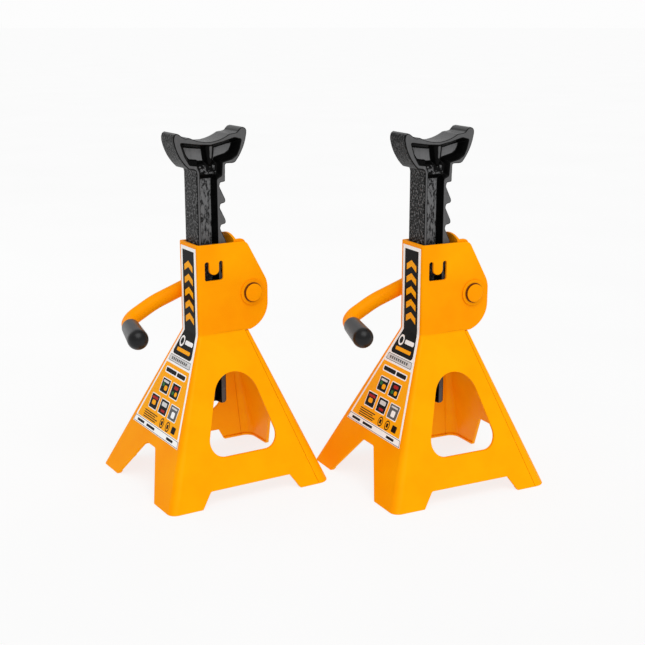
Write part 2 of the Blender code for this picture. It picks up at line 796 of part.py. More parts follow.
def make_label(vinyl):
    """A sticker that runs down the column and bends out over the flare."""
    lean = math.atan2(-FRONT_FOOT_X, KNEE)
    levels = (
        (0.0, LABEL_TOP, 0.0),
        (0.0, KNEE, lean / 2.0),
        (at_height(LABEL_LOW, FRONT_FOOT_X, 0.0), LABEL_LOW, lean),
    )
    rings = []
    for x, z, tilt in levels:
        half = label_half(z)
        ring = []
        for depth in (GAP, GAP + LABEL_THICKNESS):
            reach = depth / math.cos(lean / 2.0) if 0.0 < tilt < lean else depth
            point = (x - reach * math.cos(tilt), z + reach * math.sin(tilt))
            ring.append(point)
        (inner_x, inner_z), (outer_x, outer_z) = ring
        inside = ((inner_x, -half, inner_z), (inner_x, half, inner_z))
        outside = ((outer_x, half, outer_z), (outer_x, -half, outer_z))
        rings.append(inside + outside)
    label = loft("front_label", rings)
    label.data.materials.append(vinyl)
    return label


# The pair


def place_stand(suffix, pieces, location, turn):
    """Puts one stand's pieces under an empty; the moving ones keep their origin on their own joint's axis."""
    root = bpy.data.objects.new("stand_" + suffix, None)
    root.location = (*location, 0.0)
    root.rotation_euler = (0.0, 0.0, math.radians(turn))
    PARTS.objects.link(root)
    for piece in pieces:
        made = add_object(piece.name + "_" + suffix, piece.data, PARTS)
        made.location = piece.location
        made.parent = root
    return root


def move_origin(piece, origin):
    """Moves an object's origin without moving its shape."""
    piece.data.transform(Matrix.Translation(-Vector(origin)))
    piece.location = origin


def finish_shading(piece):
    piece.data.shade_smooth()
    piece.data.set_sharp_from_angle(angle=math.radians(32))


def centre_on_floor(roots):
    """Moves both stands so that the box round everything is centred on the origin."""
    bpy.context.view_layer.update()
    corners = []
    for made in PARTS.objects:
        if made.type == "MESH":
            corners += [made.matrix_world @ vertex.co for vertex in made.data.vertices]
    low = Vector([min(corner[axis] for corner in corners) for axis in range(3)])
    high = Vector([max(corner[axis] for corner in corners) for axis in range(3)])
    middle = (low + high) / 2.0
    for root in roots:
        root.location -= Vector((middle.x, middle.y, 0.0))
    bpy.context.view_layer.update()


def main():
    clear_scene()
    orange = material("orange_paint", ORANGE, 0.32)
    black = material("black_casting", BLACK, 0.30)
    rubber = material("grip_rubber", RUBBER_BLACK, 0.62)
    steel = material("zinc_steel", STEEL, 0.38, 1.0)
    vinyl = material("label_vinyl", WHITE, 0.45)
    shell, panel = make_frame(orange)
    guide = make_guide(orange)
    bar = make_bar(black)
    pawl = make_pawl(black)
    rod = make_rod(orange)
    grip = make_grip(rubber)
    washer_y = COLUMN_HALF + GAP + WASHER_THICKNESS / 2.0
    near_washer = make_washer("near_washer", -washer_y, orange)
    far_washer = make_washer("far_washer", washer_y, steel)
    spring_pin = make_spring_pin(steel)
    label = make_label(vinyl)
    pivot = (PIVOT_X, 0.0, PIVOT_Z)
    for piece in (pawl, rod, grip, spring_pin):
        move_origin(piece, pivot)
    move_origin(bar, (TROUGH_LOW[0], 0.0, 0.0))
    pieces = (shell, panel, guide, label, near_washer, far_washer, bar, pawl, rod, grip, spring_pin)
    for piece in pieces:
        finish_shading(piece)
    roots = [
        place_stand("a", pieces, (0.0, 0.0), 0.0),
        place_stand("b", pieces, STAND_B_OFFSET, STAND_B_TURN),
    ]
    for piece in pieces:
        bpy.data.objects.remove(piece, do_unlink=True)
    centre_on_floor(roots)


main()
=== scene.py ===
"""A pair of ratchet axle stands: fine pieces, finishes, light and camera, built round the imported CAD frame.

In a stand's own frame, +X runs from the label wall to the pawl, Y runs along the pivot rod, x = 0 is the
outer face of the label wall's column, and the feet stand on z = 0. Metres throughout.
"""

import json
import math

import bmesh
import bpy
from mathutils import Matrix, Vector

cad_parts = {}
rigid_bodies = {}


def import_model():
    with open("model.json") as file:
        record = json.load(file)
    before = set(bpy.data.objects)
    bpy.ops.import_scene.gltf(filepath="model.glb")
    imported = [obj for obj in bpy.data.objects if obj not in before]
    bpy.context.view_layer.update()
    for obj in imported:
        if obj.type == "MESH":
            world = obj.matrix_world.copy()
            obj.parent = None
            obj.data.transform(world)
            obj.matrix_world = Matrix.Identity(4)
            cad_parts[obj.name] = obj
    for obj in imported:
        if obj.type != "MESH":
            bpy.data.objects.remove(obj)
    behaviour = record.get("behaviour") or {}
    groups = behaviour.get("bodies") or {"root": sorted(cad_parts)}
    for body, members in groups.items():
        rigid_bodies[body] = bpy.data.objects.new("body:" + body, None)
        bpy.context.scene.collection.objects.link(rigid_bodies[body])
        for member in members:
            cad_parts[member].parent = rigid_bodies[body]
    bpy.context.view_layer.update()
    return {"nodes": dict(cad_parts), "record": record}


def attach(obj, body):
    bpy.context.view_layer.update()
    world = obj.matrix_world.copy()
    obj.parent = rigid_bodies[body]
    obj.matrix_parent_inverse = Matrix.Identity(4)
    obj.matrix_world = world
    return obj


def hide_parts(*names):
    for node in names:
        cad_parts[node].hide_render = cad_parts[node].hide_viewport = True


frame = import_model()

ALONG_Y = Matrix(((1, 0, 0, 0), (0, 0, -1, 0), (0, 1, 0, 0), (0, 0, 0, 1)))
ALONG_X = Matrix(((0, 0, 1, 0), (1, 0, 0, 0), (0, 1, 0, 0), (0, 0, 0, 1)))

# Folded sheet
SHEET = 0.0030
COLUMN_TOP = 0.2400
KNEE = 0.1510
BEND = 0.0016
COLUMN_HALF = 0.02045
BASE_HALF = 0.08515
FRONT_FOOT_X = -0.0648
REAR_FOOT_X = 0.1121
REAR_KNEE_X = 0.0548
FRONT_RADIUS = (0.0085, 0.0030)
REAR_RADIUS = (0.0140, 0.0030)
FOOT_LIP = 0.0045
SEAM_SETBACK = (0.0148, 0.0042)
SEAM_GAP = 0.0003
SIDE_SLOPE = (BASE_HALF - COLUMN_HALF) / KNEE
FRONT_SLOPE = -FRONT_FOOT_X / KNEE
CHEEK_REAR_X = 0.0765
CHEEK_SLANT_TOP = (0.0536, COLUMN_TOP, 0.0070)
CHEEK_SLANT_LOW = (CHEEK_REAR_X, 0.1976, 0.0240)
CHEEK_LOWER = (CHEEK_REAR_X, 0.1565, 0.0269)
CHEEK_FOOT_X = 0.0568
ARCH_CIRCLES = ((0.0034, 0.0550, 0.0140), (0.0469, 0.0550, 0.0140), (0.0273, 0.0910, 0.0240))
SIDE_NOTCH = ((-0.0309, 0.0), (-0.0194, 0.0140), (0.0670, 0.0140), (0.0761, 0.0))
END_NOTCH = ((-0.0458, 0.0), (-0.0110, 0.0424), (0.0110, 0.0424), (0.0458, 0.0))
SLOT_LEFT = 0.0080
SLOT_RIGHT = 0.0275
SLOT_LOW = 0.2045
SLOT_HIGH = 0.2233
TONGUE_LEFT = 0.0126
TONGUE_RIGHT = 0.0233
TONGUE_LOW = 0.2102

# Bar and saddle
BAR_HALF = 0.0144
BAR_FRONT_X = 0.0046
BAR_LOW = 0.0770
BAR_BACK_X = 0.0314
WEB_HALF = 0.0050
NECK_HALF = 0.0085
RECESS_X = (0.0080, 0.0254)
TOOTH_ROOT_X = 0.0286
TOOTH_TIP_X = 0.0349
PITCH = 0.02045
SHOULDER_Z = 0.2988
TEETH = 8
HELD_TOOTH = 4
TROUGH_LEFT = (-0.0016, 0.3423)
TROUGH_LOW = (0.0185, 0.3377)
TROUGH_RIGHT = (0.0402, 0.3443)

# Pawl, rod and grip
PIVOT_X = 0.0590
PIVOT_Z = 0.1886
ROD_RADIUS = 0.0075
BORE_RADIUS = 0.0078
ROD_HEAD_RADIUS = 0.0089
ROD_HEAD_LENGTH = 0.0026
ROD_HEAD_Y = -COLUMN_HALF - 0.0042
ROD_NECK_RADIUS = ROD_HEAD_RADIUS - 0.0003
ROD_COLLAR_RADIUS = 0.0099
PAWL_HALF = 0.0140
HUB_RADIUS = 0.0130
NOSE_RADIUS = 0.0378
NOSE_X = 0.0308
PAWL_REST_LIFT = 10.5
ARM_Y = 0.0360
ARM_RISE = (-0.0250, 0.0078)
ARM_BOW = (-0.0220, 0.1766)
ARM_END = (-0.0511, 0.1607)
GRIP_DIRECTION = (-0.209, -0.974, -0.082)
GRIP_START = 0.0180
GRIP_LENGTH = 0.0360
GRIP_RADIUS = (0.0088, 0.0102)

# Label
LABEL_TOP = 0.2365
LABEL_LOW = 0.0528
LABEL_SQUEEZE = 0.95
LABEL_SHIFT = 0.0009
LABEL_UNDER = 0.00030
LABEL_LEVELS = (0.00038, 0.00042, 0.00046, 0.00050, 0.00054)
WHITE_INK, BLACK_INK, ORANGE_INK, SILVER_INK, GREY_INK, RED_INK, GREEN_INK = range(7)
# u, z, panel, and marks as (left, low, right, high, radius, ink) about that u and z
PICTURES = (
    (0.0122, 0.0964, BLACK_INK, (
        (-0.0060, 0.0030, 0.0066, 0.0050, 0.0004, SILVER_INK),
        (0.0016, -0.0012, 0.0066, 0.0024, 0.0014, GREEN_INK),
        (-0.0060, -0.0040, 0.0008, 0.0006, 0.0018, ORANGE_INK),
    )),
    (-0.0118, 0.0964, BLACK_INK, (
        (-0.0050, 0.0016, 0.0040, 0.0046, 0.0012, RED_INK),
        (-0.0060, -0.0042, -0.0008, -0.0002, 0.0016, ORANGE_INK),
        (0.0010, -0.0040, 0.0056, -0.0006, 0.0014, GREEN_INK),
    )),
    (0.0236, 0.0785, BLACK_INK, (
        (-0.0064, 0.0024, 0.0064, 0.0048, 0.0006, RED_INK),
        (-0.0040, -0.0030, 0.0044, 0.0014, 0.0018, ORANGE_INK),
    )),
    (0.0, 0.0785, BLACK_INK, (
        (-0.0058, 0.0006, 0.0058, 0.0046, 0.0010, SILVER_INK),
        (-0.0050, -0.0046, 0.0036, -0.0024, 0.0006, RED_INK),
    )),
    (-0.0236, 0.0785, GREY_INK, (
        (-0.0062, 0.0034, 0.0062, 0.0050, 0.0004, SILVER_INK),
        (-0.0044, -0.0044, 0.0030, 0.0012, 0.0012, WHITE_INK),
    )),
)

# Studio
FLOOR_RADIUS = 40.0
FLOOR_GLOW = 0.80
CAMERA_LENS = 66.97674
CAMERA_PLACE = (-0.486292, -1.0430, 0.45516)
CAMERA_DOWN = 14.442
CAMERA_TURN = -31.505

SCRATCH = bpy.data.collections.new("scratch")
bpy.context.scene.collection.children.link(SCRATCH)


# Outlines


def arc(center, radius, start, end, steps):
    """Points of an arc between two angles in radians, both ends included."""
    points = []
    for index in range(steps + 1):
        angle = start + (end - start) * index / steps
        points.append((center[0] + radius * math.cos(angle), center[1] + radius * math.sin(angle)))
    return points


def arc_through(first, middle, last, steps):
    """Points of the circle arc that runs from first through middle to last."""
    (ax, ay), (bx, by), (cx, cy) = first, middle, last
    d = 2.0 * (ax * (by - cy) + bx * (cy - ay) + cx * (ay - by))
    a2, b2, c2 = ax * ax + ay * ay, bx * bx + by * by, cx * cx + cy * cy
    ux = (a2 * (by - cy) + b2 * (cy - ay) + c2 * (ay - by)) / d
    uy = (a2 * (cx - bx) + b2 * (ax - cx) + c2 * (bx - ax)) / d
    start = math.atan2(ay - uy, ax - ux)
    turn = math.remainder(math.atan2(cy - uy, cx - ux) - start, 2.0 * math.pi)
    return arc((ux, uy), math.hypot(ax - ux, ay - uy), start, start + turn, steps)


def fillet(behind, here, ahead, radius):
    """The centre of a corner's rounding, and the rounding's two ends as seen from that centre."""
    before = (behind - here).normalized()
    after = (ahead - here).normalized()
    half = before.angle(after) / 2.0
    center = here + (before + after).normalized() * radius / math.sin(half)
    first = here + before * radius / math.tan(half) - center
    last = here + after * radius / math.tan(half) - center
    return center, first, last


def rounded(corners, steps=8):
    """An outline from (u, v, radius) corners; a radius of 0 keeps the corner sharp."""
    points = []
    count = len(corners)
    for index, (u, v, radius) in enumerate(corners):
        if radius == 0:
            points.append((u, v))
            continue
        behind, ahead = Vector(corners[index - 1][:2]), Vector(corners[(index + 1) % count][:2])
        center, first, last = fillet(behind, Vector((u, v)), ahead, radius)
        start = math.atan2(first.y, first.x)
        turn = math.remainder(math.atan2(last.y, last.x) - start, 2.0 * math.pi)
        points += arc(center, radius, start, start + turn, steps)
    return points


def belt(circles, steps=20):
    """The outline of a belt pulled round (u, v, radius) circles, given counter-clockwise."""
    normals = []
    for index, (u, v, radius) in enumerate(circles):
        u2, v2, radius2 = circles[(index + 1) % len(circles)]
        along = math.atan2(v2 - v, u2 - u)
        normals.append(along - math.acos((radius - radius2) / math.hypot(u2 - u, v2 - v)))
    points = []
    for index, (u, v, radius) in enumerate(circles):
        start = normals[index - 1]
        turn = (normals[index] - start) % (2.0 * math.pi)
        points += arc((u, v), radius, start, start + turn, steps)
    return points


# Solids


def scratch(name, shape):
    """A mesh object from a bmesh, kept out of the render until it is placed."""
    bmesh.ops.recalc_face_normals(shape, faces=shape.faces)
    mesh = bpy.data.meshes.new(name)
    shape.to_mesh(mesh)
    shape.free()
    made = bpy.data.objects.new(name, mesh)
    SCRATCH.objects.link(made)
    return made


def applied(made):
    """Bakes the object's modifiers into its mesh."""
    bpy.context.view_layer.update()
    graph = bpy.context.evaluated_depsgraph_get()
    mesh = bpy.data.meshes.new_from_object(made.evaluated_get(graph))
    made.modifiers.clear()
    made.data = mesh
    return made


def loft(name, rings):
    """A closed solid through rings of equally many points."""
    shape = bmesh.new()
    levels = [[shape.verts.new(point) for point in ring] for ring in rings]
    shape.faces.new(reversed(levels[0]))
    shape.faces.new(levels[-1])
    for low, high in zip(levels, levels[1:]):
        for index in range(len(low)):
            after = (index + 1) % len(low)
            shape.faces.new((low[index], low[after], high[after], high[index]))
    return scratch(name, shape)


def prism(name, outline, low, high, along=ALONG_Y):
    """An outline in XZ run along Y, or in YZ run along X, from low to high."""
    sign = -1.0 if along is ALONG_Y else 1.0
    rings = []
    for depth in (low, high):
        rings.append([along @ Vector((u, v, sign * depth)) for u, v in outline])
    return loft(name, rings)


def drafted(name, mouth, floor, side):
    """A pocket cutter from a mouth outline on the casting's side to a floor outline on its web."""
    extra = 0.002
    stretch = extra / (BAR_HALF - WEB_HALF)
    outer = [(mu + (mu - fu) * stretch, mv + (mv - fv) * stretch) for (mu, mv), (fu, fv) in zip(mouth, floor)]
    rings = [
        [(u, side * (BAR_HALF + extra), v) for u, v in outer],
        [(u, side * WEB_HALF, v) for u, v in floor],
    ]
    return loft(name, rings)


def cylinder(name, center, radius, length, sides=64, axis=(0, 1, 0)):
    shape = bmesh.new()
    turn = Vector((0, 0, 1)).rotation_difference(Vector(axis)).to_matrix().to_4x4()
    place = Matrix.Translation(center) @ turn
    bmesh.ops.create_cone(
        shape, cap_ends=True, segments=sides, radius1=radius, radius2=radius, depth=length, matrix=place
    )
    return scratch(name, shape)


def turned(name, profile):
    """A solid of revolution about Z from a (radius, height) profile that starts and ends on the axis."""
    sides = 56
    shape = bmesh.new()
    rings = []
    for radius, height in profile:
        if radius == 0.0:
            rings.append([shape.verts.new((0.0, 0.0, height))])
            continue
        ring = []
        for index in range(sides):
            angle = 2.0 * math.pi * index / sides
            ring.append(shape.verts.new((radius * math.cos(angle), radius * math.sin(angle), height)))
        rings.append(ring)
    for first, second in zip(rings, rings[1:]):
        for index in range(sides):
            after = (index + 1) % sides
            corners = [first[index % len(first)], first[after % len(first)]]
            corners += [second[after % len(second)], second[index % len(second)]]
            kept = list(dict.fromkeys(corners))
            if len(kept) > 2:
                shape.faces.new(kept)
    return scratch(name, shape)


def boolean(target, other, operation):
    made = target.modifiers.new(operation.lower(), "BOOLEAN")
    made.object = other
    made.operation = operation
    made.solver = "EXACT"


def cut(target, *others):
    for other in others:
        boolean(target, other, "DIFFERENCE")
    return target


def along_seam(edge):
    """Whether an edge lies on the welded seam between the shell and the rear panel."""
    for vert in edge.verts:
        if vert.co.z > KNEE or abs(vert.co.x - seam_x(vert.co.z, 0.0)) > 0.0005:
            return False
    return True


def soften(target, width, segments=2):
    """Rounds the edges sharper than 32 degrees, hardly at all on the seam, and gives the flat faces their own
    normals."""
    shape = bmesh.new()
    shape.from_mesh(target.data)
    bmesh.ops.remove_doubles(shape, verts=shape.verts, dist=2e-5)
    bmesh.ops.dissolve_degenerate(shape, dist=1e-5, edges=shape.edges)
    shape.normal_update()
    weights = shape.edges.layers.float.new("bevel_weight_edge")
    for edge in shape.edges:
        if edge.calc_face_angle(0.0) > math.radians(32.0):
            edge[weights] = 0.2 if along_seam(edge) else 1.0
    shape.to_mesh(target.data)
    shape.free()
    bevel = target.modifiers.new("edge", "BEVEL")
    bevel.width = width
    bevel.segments = segments
    bevel.limit_method = "WEIGHT"
    bevel.use_clamp_overlap = False
    bevel.face_strength_mode = "FSTR_ALL"
    target.data.shade_smooth()
    weld = target.modifiers.new("spikes", "WELD")
    weld.merge_threshold = 0.00012
    weighted = target.modifiers.new("normals", "WEIGHTED_NORMAL")
    weighted.keep_sharp = True
    weighted.use_face_influence = True
    return applied(target)


# The folded shell and the rear panel


def at_height(z, foot, knee):
    """A value that runs straight from the floor to the knee."""
    return foot + (knee - foot) * z / KNEE


def below_knee(z):
    """The depth below the knee, with a soft bend there."""
    depth = KNEE - z
    if depth >= BEND:
        return depth
    if depth <= -BEND:
        return 0.0
    return (depth + BEND) ** 2 / (4.0 * BEND)


def lean_share(z):
    """0 on the upright column, 1 on the flare, in between in the bend."""
    return min(max((KNEE - z + BEND) / (2.0 * BEND), 0.0), 1.0)


def bend_levels(steps=6):
    return [KNEE - BEND + 2.0 * BEND * index / steps for index in range(steps + 1)]


def front_radius(depth):
    """The rounding of the front corners at a depth below the knee."""
    return FRONT_RADIUS[1] + (FRONT_RADIUS[0] - FRONT_RADIUS[1]) * depth / KNEE


def shell_ring(z, inside, back):
    """The shell's section at a height: square-cut behind, at back. inside draws it in by the sheet."""
    depth = below_knee(z)
    wall = SHEET * math.hypot(1.0, SIDE_SLOPE * lean_share(z)) if inside else 0.0
    front = -FRONT_SLOPE * depth + wall
    half = COLUMN_HALF + SIDE_SLOPE * depth - wall
    radius = max(front_radius(depth) - wall, 0.0008)
    outline = rounded(((front, -half, radius), (back, -half, 0), (back, half, 0), (front, half, radius)))
    return [(u, v, z) for u, v in outline]


def inset_ring(z, inset, rear, rear_radius, steps=8):
    """The base's closed section at a height, drawn in by inset all round."""
    front = at_height(z, FRONT_FOOT_X, 0.0) + inset
    half = at_height(z, BASE_HALF, COLUMN_HALF) - inset
    ahead = max(at_height(z, *FRONT_RADIUS) - inset, 0.0008)
    behind = max(rear_radius - inset, 0.0008)
    back = rear - inset
    corners = ((front, -half, ahead), (back, -half, behind), (back, half, behind), (front, half, ahead))
    outline = rounded(corners, steps)
    return [(u, v, z) for u, v in outline]


def notch_corners(notch, radius):
    """A notch's trapezoid, its sides carried on below the floor, with rounded upper corners."""
    (u0, v0), (u1, v1), (u2, v2), (u3, v3) = notch
    below = 0.005
    left = u0 - (u1 - u0) * below / (v1 - v0)
    right = u3 + (u3 - u2) * below / (v2 - v3)
    return ((left, v0 - below, 0), (right, v3 - below, 0), (u2, v2, radius), (u1, v1, radius))


def seam_x(z, setback):
    return at_height(z, REAR_FOOT_X - SEAM_SETBACK[0], REAR_KNEE_X - SEAM_SETBACK[1]) - setback


def side_outline():
    """The folded shell seen from the side: the leg up to the seam, then the cheek."""
    far = -0.12
    top = KNEE - SEAM_GAP
    return rounded(
        (
            (far, -0.01, 0),
            (seam_x(-0.01, SEAM_GAP), -0.01, 0),
            (seam_x(top, SEAM_GAP), top, 0),
            (seam_x(top, SEAM_GAP), KNEE, 0),
            (CHEEK_FOOT_X, KNEE, 0),
            CHEEK_LOWER,
            CHEEK_SLANT_LOW,
            CHEEK_SLANT_TOP,
            (far, COLUMN_TOP + 0.00001, 0),
        ),
        14,
    )


def slot_outline():
    """The U that frees a tongue in each cheek."""
    tip = (TONGUE_RIGHT - TONGUE_LEFT) / 2.0 - 0.0001
    left_end = (TONGUE_LEFT - SLOT_LEFT) / 2.0 - 0.0001
    right_end = (SLOT_RIGHT - TONGUE_RIGHT) / 2.0 - 0.0001
    return rounded(
        (
            (SLOT_LEFT, SLOT_LOW, 0.0022),
            (SLOT_RIGHT, SLOT_LOW, 0.0022),
            (SLOT_RIGHT, SLOT_HIGH, right_end),
            (TONGUE_RIGHT, SLOT_HIGH, right_end),
            (TONGUE_RIGHT, TONGUE_LOW, tip),
            (TONGUE_LEFT, TONGUE_LOW, tip),
            (TONGUE_LEFT, SLOT_HIGH, left_end),
            (SLOT_LEFT, SLOT_HIGH, left_end),
        )
    )


def make_shell():
    """The folded sheet: its outside less its hollow, trimmed to the side outline, then pierced."""
    back = 0.13
    levels = [0.0] + bend_levels() + [COLUMN_TOP]
    outside = [shell_ring(z, False, back) for z in levels]
    inner_levels = [SHEET] + bend_levels() + [COLUMN_TOP + 0.01]
    hollow = [shell_ring(z, True, back + 0.02) for z in inner_levels]
    shell = loft("frame_shell", outside)
    reach = 0.2
    lip = [inset_ring(z, FOOT_LIP, back + 0.03, 0.0) for z in (-0.002, SHEET + 0.001)]
    cut(shell, loft("hollow", hollow), loft("lip_hole", lip))
    boolean(shell, prism("side_outline", side_outline(), -reach, reach), "INTERSECT")
    cut(
        shell,
        prism("arch", belt(ARCH_CIRCLES), -reach, reach),
        prism("side_notch", rounded(notch_corners(SIDE_NOTCH, 0.003)), -reach, reach),
        prism("end_notch", rounded(notch_corners(END_NOTCH, 0.004)), -reach, 0.03, ALONG_X),
        prism("slot", slot_outline(), -0.05, 0.05),
        cylinder("pivot_bore", (PIVOT_X, 0, PIVOT_Z), BORE_RADIUS, 0.1),
    )
    applied(shell)
    return soften(shell, 0.0006)


def make_panel():
    """The welded rear sheet, cut to the seam on both sides."""
    top = KNEE - 2.0 * SEAM_GAP
    wall = SHEET * math.hypot(1.0, SIDE_SLOPE)

    def ring(z, inset):
        rear = at_height(z, REAR_FOOT_X, REAR_KNEE_X)
        return inset_ring(z, inset, rear, at_height(z, *REAR_RADIUS), 10)

    panel = loft("rear_panel", [ring(0.0, 0.0), ring(top, 0.0)])
    hollow = loft("panel_hollow", [ring(SHEET, wall), ring(top + 0.002, wall)])
    lip = loft("panel_lip", [ring(-0.002, FOOT_LIP), ring(SHEET + 0.001, FOOT_LIP)])
    low = -0.01
    wedge = ((seam_x(low, 0.0), low), (0.2, low), (0.2, top + 0.001), (seam_x(top + 0.001, 0.0), top + 0.001))
    cut(panel, hollow, lip)
    boolean(panel, prism("panel_wedge", wedge, -0.2, 0.2), "INTERSECT")
    cut(panel, prism("rear_notch", rounded(notch_corners(END_NOTCH, 0.004)), 0.03, 0.2, ALONG_X))
    applied(panel)
    return soften(panel, 0.0006)


# The casting


def tooth(flat_z):
    """One tooth from its root up: a flat that faces down, a rounded tip and a long ramp."""
    return [
        (TOOTH_ROOT_X, flat_z - 0.0040),
        (TOOTH_ROOT_X + 0.0009, flat_z - 0.0008),
        (TOOTH_TIP_X - 0.0015, flat_z),
        (TOOTH_TIP_X - 0.0003, flat_z + 0.0010),
        (TOOTH_TIP_X, flat_z + 0.0025),
        (TOOTH_TIP_X - 0.0006, flat_z + 0.0045),
        (TOOTH_ROOT_X + 0.0006, flat_z + 0.0148),
    ]


def trough(steps=10):
    """The cradle's arc, right to left, with one level facet at its lowest point."""
    flat = 0.0025
    low_right = (TROUGH_LOW[0] + flat, TROUGH_LOW[1])
    low_left = (TROUGH_LOW[0] - flat, TROUGH_LOW[1])
    middle_right = (TROUGH_LOW[0] + 0.0122, TROUGH_LOW[1] + 0.0021)
    middle_left = (TROUGH_LOW[0] - 0.0122, TROUGH_LOW[1] + 0.0016)
    right = arc_through(TROUGH_RIGHT, middle_right, low_right, steps)
    left = arc_through(low_left, middle_left, TROUGH_LEFT, steps)
    return right + left


def bar_outline():
    """The casting seen from the side: plain foot, teeth, neck, and the saddle's two horns."""
    points = [(BAR_FRONT_X, BAR_LOW), (BAR_BACK_X - 0.002, BAR_LOW), (BAR_BACK_X, BAR_LOW + 0.002)]
    lowest = SHOULDER_Z - TEETH * PITCH
    points += [(BAR_BACK_X, lowest - 0.016), (TOOTH_ROOT_X, lowest - 0.008)]
    for index in range(TEETH, 0, -1):
        points += tooth(SHOULDER_Z - index * PITCH)
    points += [(TOOTH_ROOT_X, SHOULDER_Z - 0.0040), (TOOTH_ROOT_X + 0.0009, SHOULDER_Z - 0.0006)]
    points += [(TOOTH_TIP_X - 0.0005, SHOULDER_Z), (TOOTH_TIP_X, SHOULDER_Z + 0.001)]
    points += [(TOOTH_TIP_X + 0.0002, 0.3150), (TOOTH_TIP_X + 0.0012, 0.3161), (0.0437, 0.3160)]
    points += arc_through((0.0461, 0.3168), (0.0547, 0.3300), (0.0587, 0.3440), 12)
    points += [(0.0589, 0.3467), (0.0574, 0.3491), (0.0550, 0.3500), (0.0523, 0.3495), (0.0501, 0.3476)]
    points += [(0.0484, 0.3455), (0.0457, 0.3448)]
    points += trough()
    points += [(-0.0055, 0.3419), (-0.0090, 0.3436), (-0.0125, 0.3462), (-0.0150, 0.3470)]
    points += [(-0.0172, 0.3457), (-0.0182, 0.3428)]
    points += arc_through((-0.0183, 0.3400), (-0.0125, 0.3240), (-0.0033, 0.3128), 12)
    points += [(0.0019, 0.3122), (BAR_FRONT_X - 0.0006, 0.3107), (BAR_FRONT_X, 0.3080)]
    return points


def recess_cutters(side):
    """The recess of one face: one drafted pocket across saddle and neck, and the channel below it."""
    front, rear = RECESS_X
    draft = 0.0013
    mouth = (
        (-0.0116, 0.3378), (-0.0072, 0.3248), (-0.0022, 0.3166), (0.0056, 0.3156), (front, 0.3094),
        (front, 0.3005), (rear, 0.3005), (0.0312, 0.3046), (0.0322, 0.3174), (0.0426, 0.3200),
        (0.0476, 0.3232), (0.0508, 0.3299), (0.0532, 0.3388), (0.0460, 0.3404), (0.0326, 0.3367),
        (0.0200, 0.3343), (0.0078, 0.3350),
    )
    floor = (
        (-0.0054, 0.3333), (-0.0024, 0.3252), (0.0006, 0.3210), (0.0094, 0.3198), (0.0102, 0.3110),
        (front + draft, 0.3005), (rear - draft, 0.3005), (0.0264, 0.3090), (0.0270, 0.3216), (0.0396, 0.3249),
        (0.0436, 0.3276), (0.0456, 0.3314), (0.0464, 0.3356), (0.0410, 0.3346), (0.0296, 0.3318),
        (0.0204, 0.3306), (0.0084, 0.3316),
    )
    low = BAR_LOW - 0.01
    top = 0.3010
    left, right = front + draft, rear - draft
    channel_mouth = ((front, low), (rear, low), (rear, top), (front, top))
    channel_floor = ((left, low), (right, low), (right, top), (left, top))
    return [
        drafted("saddle_recess", mouth, floor, side),
        drafted("channel", channel_mouth, channel_floor, side),
    ]


def neck_web(side):
    """The raised web of the neck, with a slope down at each end."""
    base = ((0.0066, 0.3012), (0.0318, 0.3012), (0.0318, 0.3200), (0.0066, 0.3200))
    top = ((0.0066, 0.3062), (0.0318, 0.3062), (0.0318, 0.3160), (0.0066, 0.3160))
    rings = [[(u, side * (WEB_HALF - 0.001), v) for u, v in base], [(u, side * NECK_HALF, v) for u, v in top]]
    return loft("neck_web", rings)


def saddle_rib(side):
    """The half-round rib between the saddle's two pockets, narrower towards its rounded foot."""
    center_x = 0.0206
    rings = []
    for z, half, peak in (
        (0.3370, 0.0064, 0.0136),
        (0.3300, 0.0060, 0.0133),
        (0.3240, 0.0052, 0.0129),
        (0.3185, 0.0042, 0.0122),
        (0.3160, 0.0032, 0.0112),
        (0.3146, 0.0018, 0.0098),
        (0.3140, 0.0006, 0.0086),
    ):
        ring = [(center_x + half, side * (WEB_HALF - 0.001), z)]
        for step in range(13):
            angle = math.pi * step / 12
            height = WEB_HALF + (peak - WEB_HALF) * math.sin(angle)
            ring.append((center_x + half * math.cos(angle), side * height, z))
        ring.append((center_x - half, side * (WEB_HALF - 0.001), z))
        rings.append(ring)
    return loft("saddle_rib", rings)


def cast(made, voxel, rounds, ratio):
    """Turns a sharp solid into a casting: every edge and corner rounded over."""
    remesh = made.modifiers.new("skin", "REMESH")
    remesh.mode = "VOXEL"
    remesh.voxel_size = voxel
    remesh.adaptivity = 0.0
    smooth = made.modifiers.new("round", "SMOOTH")
    smooth.factor = 0.5
    smooth.iterations = rounds
    thin = made.modifiers.new("thin", "DECIMATE")
    thin.ratio = ratio
    applied(made)
    made.data.shade_smooth()
    return made


def make_bar():
    bar = prism("ratchet_bar", bar_outline(), -BAR_HALF, BAR_HALF)
    cut(bar, *recess_cutters(-1.0), *recess_cutters(1.0))
    for side in (-1.0, 1.0):
        boolean(bar, neck_web(side), "UNION")
        boolean(bar, saddle_rib(side), "UNION")
    applied(bar)
    return cast(bar, 0.0005, 12, 0.3)


def pawl_outline():
    """The pawl in its engaged place: a nose under a tooth's flat, and a round hub on the pivot."""
    flat_z = SHOULDER_Z - HELD_TOOTH * PITCH
    pivot = (PIVOT_X, PIVOT_Z)
    under = [(NOSE_X, flat_z - 0.0068), (TOOTH_TIP_X + 0.0014, flat_z - 0.0165)]
    hub = arc(pivot, HUB_RADIUS, math.radians(205), math.radians(425), 28)
    back = [(TOOTH_TIP_X + 0.0056, flat_z - 0.0021)]
    tip_angle = math.acos((NOSE_X - PIVOT_X) / NOSE_RADIUS)
    end = arc(pivot, NOSE_RADIUS, math.radians(131), tip_angle, 8)
    return under + hub + back + end


